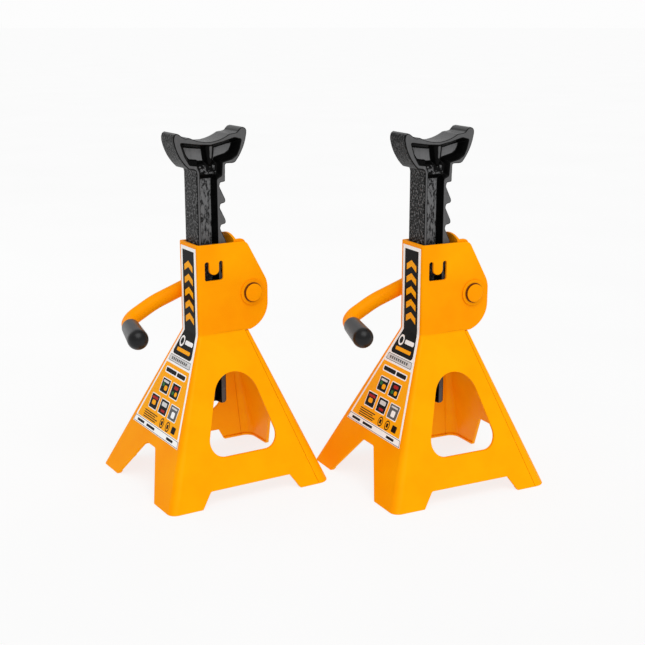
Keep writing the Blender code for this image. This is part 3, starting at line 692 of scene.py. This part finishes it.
def make_pawl():
    pawl = prism("pawl", pawl_outline(), -PAWL_HALF, PAWL_HALF)
    hub_length = 2.0 * (COLUMN_HALF - SHEET - SEAM_GAP)
    hub = cylinder("pawl_hub", (PIVOT_X, 0, PIVOT_Z), HUB_RADIUS - 0.0006, hub_length)
    boolean(pawl, hub, "UNION")
    cut(pawl, cylinder("pawl_bore", (PIVOT_X, 0, PIVOT_Z), BORE_RADIUS, 0.1))
    applied(pawl)
    lift = Matrix.Rotation(math.radians(PAWL_REST_LIFT), 4, "Y")
    about = Matrix.Translation((PIVOT_X, 0, PIVOT_Z))
    pawl.data.transform(about @ lift @ about.inverted())
    pin_axis = Vector((1.0, 0.0, 1.0)).normalized()
    cut(pawl, cylinder("pin_bore", (PIVOT_X, 0, PIVOT_Z), 0.0028, 0.05, 32, pin_axis))
    applied(pawl)
    return soften(pawl, 0.0007, 3)


# Rod and grip


def rounded_path(corners, steps):
    """A 3-D path with straight runs and round bends, from (point, bend radius) corners."""
    points = [Vector(corners[0][0])]
    for (behind, _), (here, radius), (ahead, _) in zip(corners, corners[1:], corners[2:]):
        center, first, last = fillet(Vector(behind), Vector(here), Vector(ahead), radius)
        sweep = first.angle(last)
        for step in range(steps + 1):
            share = step / steps
            mixed = first * math.sin((1 - share) * sweep) + last * math.sin(share * sweep)
            points.append(center + mixed / math.sin(sweep))
    points.append(Vector(corners[-1][0]))
    return points


def tube(name, points, radius):
    """A round rod along points, its section carried along without twist."""
    sides = 48
    rings = []
    side = None
    for index, point in enumerate(points):
        before = points[max(index - 1, 0)]
        after = points[min(index + 1, len(points) - 1)]
        along = (after - before).normalized()
        if side is None:
            side = along.orthogonal().normalized()
        side = (side - along * side.dot(along)).normalized()
        other = along.cross(side)
        ring = []
        for step in range(sides):
            angle = 2.0 * math.pi * step / sides
            ring.append(point + side * radius * math.cos(angle) + other * radius * math.sin(angle))
        rings.append(ring)
    return loft(name, rings)


def grip_axis():
    """The corner where the arm turns into the grip, and the grip's direction."""
    corner = Vector((ARM_END[0], ARM_Y, ARM_END[1]))
    return corner, Vector(GRIP_DIRECTION).normalized()


def rod_head():
    """The peened end: a collar against the washer, a side wall and a chamfered face."""
    r = ROD_HEAD_RADIUS
    length = ROD_HEAD_LENGTH
    profile = (
        (0.0, -0.0004),
        (ROD_COLLAR_RADIUS, -0.0004),
        (ROD_COLLAR_RADIUS, 0.0001),
        (ROD_NECK_RADIUS, 0.0002),
        (ROD_NECK_RADIUS, length - 0.0006),
        (r, length - 0.0004),
        (r - 0.0002, length - 0.0003),
        (r - 0.0007, length - 0.00005),
        (r - 0.0020, length),
        (0.0, length + 0.0001),
    )
    head = turned("rod_head", profile)
    turn = Matrix.Rotation(math.pi / 2, 4, "X")
    head.data.transform(Matrix.Translation((PIVOT_X, ROD_HEAD_Y + length, PIVOT_Z)) @ turn)
    return head


def make_rod():
    """The bent rod; its peened end's side and collar take the second material, a dark brown of painted shade.
    """
    corner, direction = grip_axis()
    path = rounded_path(
        (
            ((PIVOT_X, ROD_HEAD_Y + 0.0025, PIVOT_Z), 0),
            ((PIVOT_X, ARM_Y, PIVOT_Z), 0.0118),
            ((PIVOT_X + ARM_RISE[0], ARM_Y, PIVOT_Z + ARM_RISE[1]), 0.036),
            ((ARM_BOW[0], ARM_Y, ARM_BOW[1]), 0.100),
            (tuple(corner), 0.015),
            (tuple(corner + direction * (GRIP_START + GRIP_LENGTH - 0.003)), 0),
        ),
        16,
    )
    rod = tube("handle_rod", path, ROD_RADIUS)
    boolean(rod, rod_head(), "UNION")
    applied(rod)
    rod.data.shade_smooth()
    rod.data.set_sharp_from_angle(angle=math.radians(40))
    # painted shade: faces on the proud end's side and collar take the dark brown second material
    for face in rod.data.polygons:
        x, y, z = face.center
        outside = math.hypot(x - PIVOT_X, z - PIVOT_Z) > ROD_NECK_RADIUS - 0.0002
        if outside and 0.0005 < y - ROD_HEAD_Y < 0.0031:
            face.material_index = 1
    return rod


def make_grip():
    """A moulded sleeve with a rolled mouth on the rod and a round closed end."""
    corner, direction = grip_axis()
    start, end = GRIP_RADIUS
    bore = BORE_RADIUS
    outside = [(bore + 0.0002, 0.0), (start - 0.0003, 0.0), (start - 0.00005, 0.0003), (start, 0.0008)]
    for share in (0.1, 0.3, 0.5, 0.7, 0.9, 1.0):
        outside.append((start + (end - start) * share, GRIP_LENGTH * share))
    for step in range(1, 12):
        angle = math.radians(90.0 * step / 12)
        outside.append((end * math.cos(angle), GRIP_LENGTH + end * math.sin(angle)))
    outside.append((0.0, GRIP_LENGTH + end))
    blind = GRIP_LENGTH - 0.0026
    inside = [(0.0, blind), (bore - 0.0006, blind), (bore, GRIP_LENGTH - 0.0032), (bore, 0.0002)]
    grip = turned("handle_grip", inside + outside)
    turn = Vector((0, 0, 1)).rotation_difference(direction).to_matrix().to_4x4()
    grip.data.transform(Matrix.Translation(corner + direction * GRIP_START) @ turn)
    grip.data.shade_smooth()
    grip.data.set_sharp_from_angle(angle=math.radians(50))
    return grip


# The label: thin printed layers on the front wall


def on_wall(u, z, lift):
    """The point over the front wall at u across and z up, at lift above the sheet."""
    lean = math.atan(FRONT_SLOPE * lean_share(z))
    x = -FRONT_SLOPE * below_knee(z)
    return Vector((x - lift * math.cos(lean), u, z + lift * math.sin(lean)))


def add_patch(target, outline, low, high, ink):
    """Adds a closed thin layer over the wall, bent with it, to a bmesh."""
    flat = bmesh.new()
    flat.faces.new([flat.verts.new((u, z, 0.0)) for u, z in outline])
    zs = [z for _, z in outline]
    for level in bend_levels():
        if min(zs) < level < max(zs):
            geometry = flat.verts[:] + flat.edges[:] + flat.faces[:]
            bmesh.ops.bisect_plane(flat, geom=geometry, plane_co=(0, level, 0), plane_no=(0, 1, 0))
    copies = {}
    for vert in flat.verts:
        u, z = vert.co.x, vert.co.y
        u = u * LABEL_SQUEEZE - LABEL_SHIFT
        copies[vert] = (target.verts.new(on_wall(u, z, low)), target.verts.new(on_wall(u, z, high)))
    for face in flat.faces:
        for layer in (0, 1):
            target.faces.new([copies[vert][layer] for vert in face.verts]).material_index = ink
    for edge in flat.edges:
        if len(edge.link_faces) == 1:
            first, second = edge.verts
            corners = (copies[first][0], copies[second][0], copies[second][1], copies[first][1])
            target.faces.new(corners).material_index = ink
    flat.free()


def wall_half(z, margin):
    """Half the flat front wall's width at a height, less a margin."""
    depth = below_knee(z)
    return COLUMN_HALF + SIDE_SLOPE * depth - front_radius(depth) - margin


def band_outline(z_low, z_high, margin, radius):
    """A shape as wide as the wall less a margin, between two heights, with rounded lower corners."""
    low, high = wall_half(z_low, margin), wall_half(z_high, margin)
    corners = [(-low, z_low, radius), (low, z_low, radius)]
    if z_low < KNEE < z_high:
        corners += [(wall_half(KNEE, margin), KNEE, 0)]
    corners += [(high, z_high, 0), (-high, z_high, 0)]
    if z_low < KNEE < z_high:
        corners += [(-wall_half(KNEE, margin), KNEE, 0)]
    return rounded(corners, 6)


def lay(shape, outline, level, ink):
    """Prints an outline on the label; a higher level lies over a lower one."""
    add_patch(shape, outline, LABEL_UNDER, LABEL_LEVELS[level], ink)


def lay_box(shape, left, low, right, high, radius, level, ink):
    """Prints a box with rounded or, where the radius is 0, sharp corners."""
    corners = ((left, low, radius), (right, low, radius), (right, high, radius), (left, high, radius))
    lay(shape, rounded(corners, 5), level, ink)


def lay_ring(shape, u, z, radius, width, ink):
    """Prints a ring, as a closed thin band."""
    sides = 28
    end = 2.0 * math.pi * (sides - 1) / sides
    outer = arc((u, z), radius, 0.0, end, sides - 1)
    inner = arc((u, z), radius - width, 0.0, end, sides - 1)
    for index in range(sides):
        after = (index + 1) % sides
        lay(shape, [outer[index], outer[after], inner[after], inner[index]], 2, ink)


def lay_bands(shape):
    """The white ground, and the bands that run across the wall."""
    add_patch(shape, band_outline(LABEL_LOW, LABEL_TOP, 0.0003, 0), 0.00005, LABEL_LEVELS[0], WHITE_INK)
    for low, high, margin, radius, level, ink in (
        (0.1270, 0.2330, 0.0042, 0.0030, 1, BLACK_INK),
        (0.1195, 0.1258, 0.0038, 0.0014, 1, GREY_INK),
        (0.1200, 0.1253, 0.0046, 0.0012, 2, SILVER_INK),
        (0.0600, 0.1175, 0.0030, 0.0010, 1, ORANGE_INK),
        (0.0533, 0.0592, 0.0006, 0, 1, GREY_INK),
        (0.0538, 0.0587, 0.0014, 0, 2, WHITE_INK),
    ):
        lay(shape, band_outline(low, high, margin, radius), level, ink)


def lay_column(shape):
    """Five plain chevrons on the column, a dial mark and two bars at the knee, and dashes below them."""
    for index in range(5):
        low = 0.1600 + 0.0130 * index
        chevron = ((-0.0095, low), (0.0, low + 0.0048), (0.0095, low), (0.0095, low + 0.0062))
        chevron += ((0.0, low + 0.0110), (-0.0095, low + 0.0062))
        lay(shape, chevron[:2] + chevron[4:], 2, ORANGE_INK)
        lay(shape, chevron[1:5], 2, ORANGE_INK)
    lay_ring(shape, 0.0098, 0.1408, 0.0052, 0.0019, WHITE_INK)
    lay_box(shape, -0.0150, 0.1388, 0.0024, 0.1428, 0.0012, 2, WHITE_INK)
    lay_box(shape, -0.0150, 0.1308, 0.0150, 0.1342, 0.0012, 2, ORANGE_INK)
    for index in range(9):
        u = -0.0165 + 0.0041 * index
        lay_box(shape, u, 0.1214, u + 0.0028, 0.1240, 0, 3, GREY_INK)


def lay_pictures(shape):
    """A heading of two bars, and five framed panels with simple shapes on them."""
    lay_box(shape, -0.0246, 0.1080, 0.0236, 0.1140, 0.0020, 2, WHITE_INK)
    for u, width in ((-0.0230, 0.0190), (-0.0020, 0.0240)):
        lay_box(shape, u, 0.1091, u + width, 0.1129, 0.0012, 3, BLACK_INK)
    for u, z, panel, marks in PICTURES:
        lay_box(shape, u - 0.0097, z - 0.0072, u + 0.0097, z + 0.0072, 0.0012, 2, WHITE_INK)
        lay_box(shape, u - 0.0088, z - 0.0064, u + 0.0088, z + 0.0064, 0.0006, 3, panel)
        for left, low, right, high, radius, ink in marks:
            lay_box(shape, u + left, z + low, u + right, z + high, radius, 4, ink)


def lay_small_print(shape):
    """Lines of plain bars, two rings round squares, a lone square, and the foot strip's bars."""
    for index, width in enumerate((0.030, 0.033, 0.027, 0.031)):
        z = 0.0615 + 0.0020 * index
        lay_box(shape, 0.0370 - width, z, 0.0370, z + 0.0009, 0, 2, BLACK_INK)
    for u in (-0.0075, -0.0215):
        lay_ring(shape, u, 0.0652, 0.0046, 0.0011, BLACK_INK)
        lay_box(shape, u - 0.0020, 0.0632, u + 0.0020, 0.0672, 0.0008, 2, BLACK_INK)
    lay_box(shape, -0.0400, 0.0622, -0.0310, 0.0684, 0.0010, 2, BLACK_INK)
    for u, width in ((0.0290, 0.0170), (0.0030, 0.0200), (-0.0420, 0.0150)):
        lay_box(shape, u, 0.0550, u + width, 0.0573, 0.0005, 3, BLACK_INK)


def make_label():
    shape = bmesh.new()
    lay_bands(shape)
    lay_column(shape)
    lay_pictures(shape)
    lay_small_print(shape)
    return scratch("front_label", shape)


# Finishes


class Finish:
    """A material built node by node: a source is a socket, and patterns lie in the object's own frame."""

    def __init__(self, name):
        self.material = bpy.data.materials.new(name)
        self.material.use_nodes = True
        self.nodes = self.material.node_tree.nodes
        self.links = self.material.node_tree.links
        self.shader = self.nodes["Principled BSDF"]
        self.coords = self.nodes.new("ShaderNodeTexCoord")

    def split(self, output):
        """The X, Y and Z parts of a texture coordinate: Normal or Object."""
        made = self.nodes.new("ShaderNodeSeparateXYZ")
        self.links.new(self.coords.outputs[output], made.inputs["Vector"])
        return made.outputs

    def noise(self, scale, detail=3.0, roughness=0.55, stretch=(1.0, 1.0, 1.0)):
        """Noise whose scale can differ along each axis."""
        mapping = self.nodes.new("ShaderNodeMapping")
        mapping.inputs["Scale"].default_value = stretch
        self.links.new(self.coords.outputs["Object"], mapping.inputs["Vector"])
        made = self.nodes.new("ShaderNodeTexNoise")
        made.inputs["Scale"].default_value = scale
        made.inputs["Detail"].default_value = detail
        made.inputs["Roughness"].default_value = roughness
        self.links.new(mapping.outputs["Vector"], made.inputs["Vector"])
        return made.outputs["Fac"]

    def maths(self, operation, first, second=0.0):
        """A maths node; each input is a socket or a number."""
        made = self.nodes.new("ShaderNodeMath")
        made.operation = operation
        for socket, value in zip(made.inputs, (first, second)):
            if isinstance(value, (int, float)):
                socket.default_value = value
            else:
                self.links.new(value, socket)
        return made.outputs["Value"]

    def product(self, *factors):
        """The factors multiplied; each is a socket or a number."""
        value = factors[0]
        for factor in factors[1:]:
            value = self.maths("MULTIPLY", value, factor)
        return value

    def span(self, source, low, high):
        """The source's 0 to 1 run over low to high."""
        made = self.nodes.new("ShaderNodeMapRange")
        made.inputs["To Min"].default_value = low
        made.inputs["To Max"].default_value = high
        self.links.new(source, made.inputs["Value"])
        return made.outputs["Result"]

    def step(self, source, low, high):
        """0 below low, 1 above high, smooth between."""
        made = self.nodes.new("ShaderNodeMapRange")
        made.interpolation_type = "SMOOTHSTEP"
        made.inputs["From Min"].default_value = low
        made.inputs["From Max"].default_value = high
        self.links.new(source, made.inputs["Value"])
        return made.outputs["Result"]

    def bump(self, source, strength, distance, before=None):
        made = self.nodes.new("ShaderNodeBump")
        made.inputs["Strength"].default_value = strength
        made.inputs["Distance"].default_value = distance
        self.links.new(source, made.inputs["Height"])
        if before is not None:
            self.links.new(before.outputs["Normal"], made.inputs["Normal"])
        return made

    def colour(self, source, start, deep, end, light):
        """The base colour: deep where the source is at start, light where it is at end."""
        made = self.nodes.new("ShaderNodeValToRGB")
        for element, place, tint in zip(made.color_ramp.elements, (start, end), (deep, light)):
            element.position = place
            element.color = (*tint, 1.0)
        self.links.new(source, made.inputs["Fac"])
        self.links.new(made.outputs["Color"], self.shader.inputs["Base Color"])

    def gloss(self, source, low, high, specular, metallic=0.0):
        """The roughness, from low to high over the source, and how strongly the surface mirrors."""
        self.links.new(self.span(source, low, high), self.shader.inputs["Roughness"])
        self.shader.inputs["Specular IOR Level"].default_value = specular
        self.shader.inputs["Metallic"].default_value = metallic

    def relief(self, bump):
        self.links.new(bump.outputs["Normal"], self.shader.inputs["Normal"])


def enamel():
    """Sprayed orange: a drift in depth of colour, with painted light that makes the sideways faces of the
    flare and of the cheeks' upper rear lighter, a fine orange peel and a soft gloss."""
    paint = Finish("orange_enamel")
    facing = paint.split("Normal")
    where = paint.split("Object")
    # painted light: sideways faces on the flare and at the cheeks' upper rear are made lighter, as if more
    # light fell on them
    side = paint.step(paint.maths("ABSOLUTE", facing["Y"]), 0.35, 0.85)
    flared = paint.step(where["Z"], KNEE + 0.0020, KNEE - 0.0020)
    upper = paint.step(where["Z"], 0.1900, 0.2380)
    behind = paint.step(where["X"], 0.0080, 0.0340)
    painted_light = paint.maths("MAXIMUM", flared, paint.product(upper, behind, 0.9))
    drift = paint.noise(26.0)
    depth = paint.maths("ADD", drift, paint.product(side, painted_light, 0.38))
    paint.colour(depth, 0.3, (0.96, 0.298, 0.0004), 1.0, (1.0, 0.388, 0.0008))
    paint.gloss(paint.noise(140.0, 2.0), 0.27, 0.38, 0.02)
    slow = paint.bump(paint.noise(95.0, 1.0), 0.25, 0.0004)
    paint.relief(paint.bump(paint.noise(520.0, 2.0), 0.10, 0.00012, slow))
    return paint.material


def black_casting():
    """Gloss black enamel over sand-cast iron. Its grey is painted reflection of a bright surround on flats,
    floors and the crown, with painted highlight streaks; speckled grey down the front and on the neck's web,
    the sand grain with painted glints; black on edges and pocket walls."""
    iron = Finish("black_enamel_on_casting")
    facing = iron.split("Normal")
    where = iron.split("Object")
    flat = iron.step(iron.maths("ABSOLUTE", facing["Y"]), 0.93, 0.997)
    depth = iron.maths("ABSOLUTE", where["Y"])
    rim = iron.maths("GREATER_THAN", depth, 0.0125)
    floor = iron.maths("LESS_THAN", depth, 0.0060)
    web = iron.maths("LESS_THAN", where["Z"], 0.3150)
    ahead = iron.maths("LESS_THAN", where["X"], 0.0075)
    forward = iron.maths("MULTIPLY", facing["X"], -1.0)
    front = iron.product(iron.step(forward, 0.60, 0.97), ahead)
    above = iron.maths("GREATER_THAN", where["Z"], 0.3355)
    crown = iron.product(iron.step(facing["Z"], 0.45, 0.9), above)
    grain = iron.noise(430.0, 3.0, 0.6)
    speckle = iron.step(grain, 0.51, 0.60)
    blotch = iron.noise(1.0, 4.0, 0.65, (420.0, 420.0, 120.0))
    streak = iron.span(blotch, 0.30, 1.50)
    bloom = iron.span(blotch, 0.75, 1.25)
    mottle = iron.span(iron.step(blotch, 0.45, 0.54), 0.10, 1.15)
    # the painted reflection on the channel floor fades to a quarter lower down, where the bar goes into the
    # column
    uncovered = iron.span(iron.step(where["Z"], 0.2250, 0.2500), 0.25, 1.0)
    channel = iron.maths("LESS_THAN", where["Z"], 0.3020)
    pocket = iron.maths("SUBTRACT", 1.0, channel)
    column = iron.span(iron.step(where["X"], 0.0030, -0.0030), 0.60, 0.30)
    # painted reflection and highlights: the grey on flat rims, floors, the crown and the front speckles
    # stands in for the surround and glints mirrored in the gloss
    painted_sheen = iron.product(flat, rim, bloom, 0.50)
    for other in (
        iron.product(flat, floor, channel, mottle, uncovered, 0.80),
        iron.product(flat, floor, pocket, streak, 1.15),
        iron.product(flat, web, speckle, 0.60),
        iron.product(front, speckle, column),
        iron.product(crown, bloom, 0.50),
    ):
        painted_sheen = iron.maths("MAXIMUM", painted_sheen, other)
    iron.colour(painted_sheen, 0.0, (0.002, 0.002, 0.002), 1.0, (0.200, 0.200, 0.203))
    iron.gloss(grain, 0.20, 0.38, 0.05)
    wave = iron.bump(iron.noise(150.0, 2.0), 0.30, 0.0008)
    sand = iron.bump(grain, 0.5, 0.0009, wave)
    iron.links.new(iron.maths("ADD", iron.product(front, 0.80), 0.10), sand.inputs["Strength"])
    iron.relief(sand)
    return iron.material


def moulded_rubber():
    """A sleeve painted a lighter grey for the light that falls on its side, mottled by dust, and a blacker
    dome.
    """
    rubber = Finish("moulded_rubber")
    corner, direction = grip_axis()
    along = rubber.nodes.new("ShaderNodeVectorMath")
    along.operation = "DOT_PRODUCT"
    along.inputs[1].default_value = direction
    rubber.links.new(rubber.coords.outputs["Object"], along.inputs[0])
    dome = corner.dot(direction) + GRIP_START + GRIP_LENGTH
    # painted light: the sleeve is a lighter grey than the dome because light falls on its side; the dust
    # noise varies it
    sleeve = rubber.step(along.outputs["Value"], dome + 0.0025, dome - 0.0015)
    dust = rubber.noise(90.0, 4.0)
    sleeve_light_and_dust = rubber.product(sleeve, rubber.span(dust, 0.5, 1.1))
    rubber.colour(sleeve_light_and_dust, 0.0, (0.0030, 0.0030, 0.0033), 1.0, (0.034, 0.034, 0.036))
    rubber.gloss(dust, 0.24, 0.42, 0.30)
    rubber.relief(rubber.bump(rubber.noise(1100.0, 2.0), 0.25, 0.00015))
    return rubber.material


def zinc_plate():
    zinc = Finish("zinc_plate")
    cloud = zinc.noise(240.0, 4.0)
    zinc.colour(cloud, 0.3, (0.42, 0.42, 0.43), 0.7, (0.62, 0.62, 0.63))
    zinc.gloss(cloud, 0.28, 0.46, 0.5, 1.0)
    return zinc.material


def painted_shade_brown():
    """Painted shade: a dark brown laid on the side and collar of the rod's proud end, where shade falls."""
    steel = Finish("painted_shade_brown")
    cloud = steel.noise(500.0, 4.0)
    steel.colour(cloud, 0.3, (0.14, 0.030, 0.001), 0.7, (0.22, 0.052, 0.002))
    steel.gloss(cloud, 0.5, 0.7, 0.15)
    return steel.material


def printed_ink(name, deep, light, roughness=0.38):
    """Printed vinyl: the ink lies a little unevenly under a clear film."""
    vinyl = Finish(name)
    mottle = vinyl.noise(300.0)
    vinyl.colour(mottle, 0.3, deep, 0.7, light)
    vinyl.gloss(mottle, roughness - 0.06, roughness + 0.06, 0.035)
    return vinyl.material


ORANGE = enamel()
BLACK = black_casting()
RUBBER = moulded_rubber()
ZINC = zinc_plate()
# the dark brown below is painted shade for the side and collar of the rod's proud end
SHADE_BROWN = painted_shade_brown()
INKS = [
    printed_ink("label_white", (0.88, 0.88, 0.87), (0.94, 0.94, 0.93)),
    printed_ink("label_black", (0.004, 0.004, 0.004), (0.009, 0.009, 0.009), 0.34),
    printed_ink("label_orange", (0.96, 0.380, 0.002), (1.0, 0.410, 0.003)),
    printed_ink("label_silver", (0.58, 0.58, 0.58), (0.70, 0.70, 0.70), 0.34),
    printed_ink("label_grey", (0.10, 0.10, 0.10), (0.14, 0.14, 0.14)),
    printed_ink("label_red", (0.34, 0.012, 0.010), (0.46, 0.02, 0.015)),
    printed_ink("label_green", (0.02, 0.12, 0.03), (0.03, 0.18, 0.045)),
]


# Placing both stands


def shown(name, data):
    """A new object in the rendered scene."""
    made = bpy.data.objects.new(name, data)
    bpy.context.scene.collection.objects.link(made)
    return made


def placement(suffix):
    """Where one stand's own frame lies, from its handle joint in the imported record."""
    name = f"handle_{suffix}_turn"
    joint = next(item for item in frame["record"]["behaviour"]["joints"] if item["name"] == name)
    axis = joint["axis"]
    turn = Matrix.Rotation(math.atan2(-axis[0], axis[1]), 4, "Z")
    position = Vector(joint["pos_m"]) - turn @ Vector((PIVOT_X, 0.0, PIVOT_Z))
    position.z = 0.0
    return Matrix.Translation(position) @ turn


def place(piece, body, slot, finishes):
    """Puts one copy of a piece on each stand, in place of the CAD node of the same name."""
    for finish in finishes:
        piece.data.materials.append(finish)
    base = piece.name.split(".")[0]
    for suffix in ("a", "b"):
        made = shown(f"{base}_fine_{suffix}", piece.data)
        made.matrix_world = placement(suffix)
        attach(made, f"{body}_{suffix}")
        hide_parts(f"{base}_{suffix}")


def dress_cad(base, finish):
    """Gives a node that is shown as the CAD has it the finish of its slot, on each stand."""
    for suffix in ("a", "b"):
        node = frame["nodes"][f"{base}_{suffix}"]
        node.data.materials.clear()
        node.data.materials.append(finish)


place(make_shell(), "frame", "orange_paint", [ORANGE])
place(make_panel(), "frame", "orange_paint", [ORANGE])
place(make_label(), "frame", "label_vinyl", INKS)
place(make_bar(), "bar", "black_casting", [BLACK])
place(make_pawl(), "handle", "black_casting", [BLACK])
place(make_rod(), "handle", "orange_paint", [ORANGE, SHADE_BROWN])
place(make_grip(), "handle", "grip_rubber", [RUBBER])
dress_cad("bar_guide", ORANGE)
dress_cad("near_washer", ORANGE)
dress_cad("far_washer", ZINC)
dress_cad("pawl_spring_pin", ZINC)
for item in list(SCRATCH.objects):
    bpy.data.objects.remove(item, do_unlink=True)
bpy.data.collections.remove(SCRATCH)


# Floor, light and camera


def make_floor():
    """A pale light table: it glows evenly, so that shadows on it stay faint."""
    shape = bmesh.new()
    bmesh.ops.create_circle(shape, cap_ends=True, segments=96, radius=FLOOR_RADIUS)
    mesh = bpy.data.meshes.new("studio_floor")
    shape.to_mesh(mesh)
    shape.free()
    pale = Finish("pale_floor")
    mottle = pale.noise(3.0, 2.0)
    pale.colour(mottle, 0.3, (0.155, 0.155, 0.155), 0.7, (0.165, 0.165, 0.165))
    pale.shader.inputs["Roughness"].default_value = 0.9
    pale.shader.inputs["Specular IOR Level"].default_value = 0.0
    pale.shader.inputs["Emission Color"].default_value = (1.0, 1.0, 1.0, 1.0)
    pale.shader.inputs["Emission Strength"].default_value = FLOOR_GLOW
    mesh.materials.append(pale.material)
    shown("studio_floor", mesh)


def area_light(name, location, target, size, power):
    data = bpy.data.lights.new(name, "AREA")
    data.shape = "RECTANGLE"
    data.size, data.size_y = size
    data.energy = power
    made = shown(name, data)
    made.location = location
    made.rotation_euler = (Vector(target) - Vector(location)).to_track_quat("-Z", "Y").to_euler()


def sun_light(name, towards, strength, spread):
    """A broad sun in the direction towards."""
    data = bpy.data.lights.new(name, "SUN")
    data.energy = strength
    data.angle = math.radians(spread)
    shown(name, data).rotation_euler = Vector(towards).to_track_quat("Z", "Y").to_euler()


def make_world(strength, backdrop):
    """An even white surround to light by, and a brighter one behind the picture."""
    world = bpy.data.worlds.new("studio")
    world.use_nodes = True
    nodes, links = world.node_tree.nodes, world.node_tree.links
    mix = nodes.new("ShaderNodeMixShader")
    path = nodes.new("ShaderNodeLightPath")
    links.new(path.outputs["Is Camera Ray"], mix.inputs["Fac"])
    surrounds = (nodes["Background"], nodes.new("ShaderNodeBackground"))
    for made, level, socket in zip(surrounds, (strength, backdrop), mix.inputs[1:]):
        made.inputs["Color"].default_value = (1.0, 1.0, 1.0, 1.0)
        made.inputs["Strength"].default_value = level
        links.new(made.outputs["Background"], socket)
    links.new(mix.outputs["Shader"], nodes["World Output"].inputs["Surface"])
    bpy.context.scene.world = world


def make_camera():
    """The photograph's viewing angle: the camera's place is in the first stand's own frame."""
    data = bpy.data.cameras.new("camera")
    data.sensor_width = 36.0
    data.lens = CAMERA_LENS
    data.clip_start = 0.01
    camera = shown("camera", data)
    camera.location = placement("a") @ Vector(CAMERA_PLACE)
    camera.rotation_euler = (math.radians(90.0 - CAMERA_DOWN), 0.0, math.radians(CAMERA_TURN))
    bpy.context.scene.camera = camera


make_floor()
make_world(strength=0.62, backdrop=0.98)
sun_light("key_sun", towards=(-0.13, -0.53, 0.83), strength=1.55, spread=50.0)
area_light("side_strip", location=(-0.6, 1.4, 0.7), target=(0.0, 0.0, 0.15), size=(0.8, 1.4), power=2.2)
make_camera()
bpy.context.scene.view_settings.view_transform = "Standard"
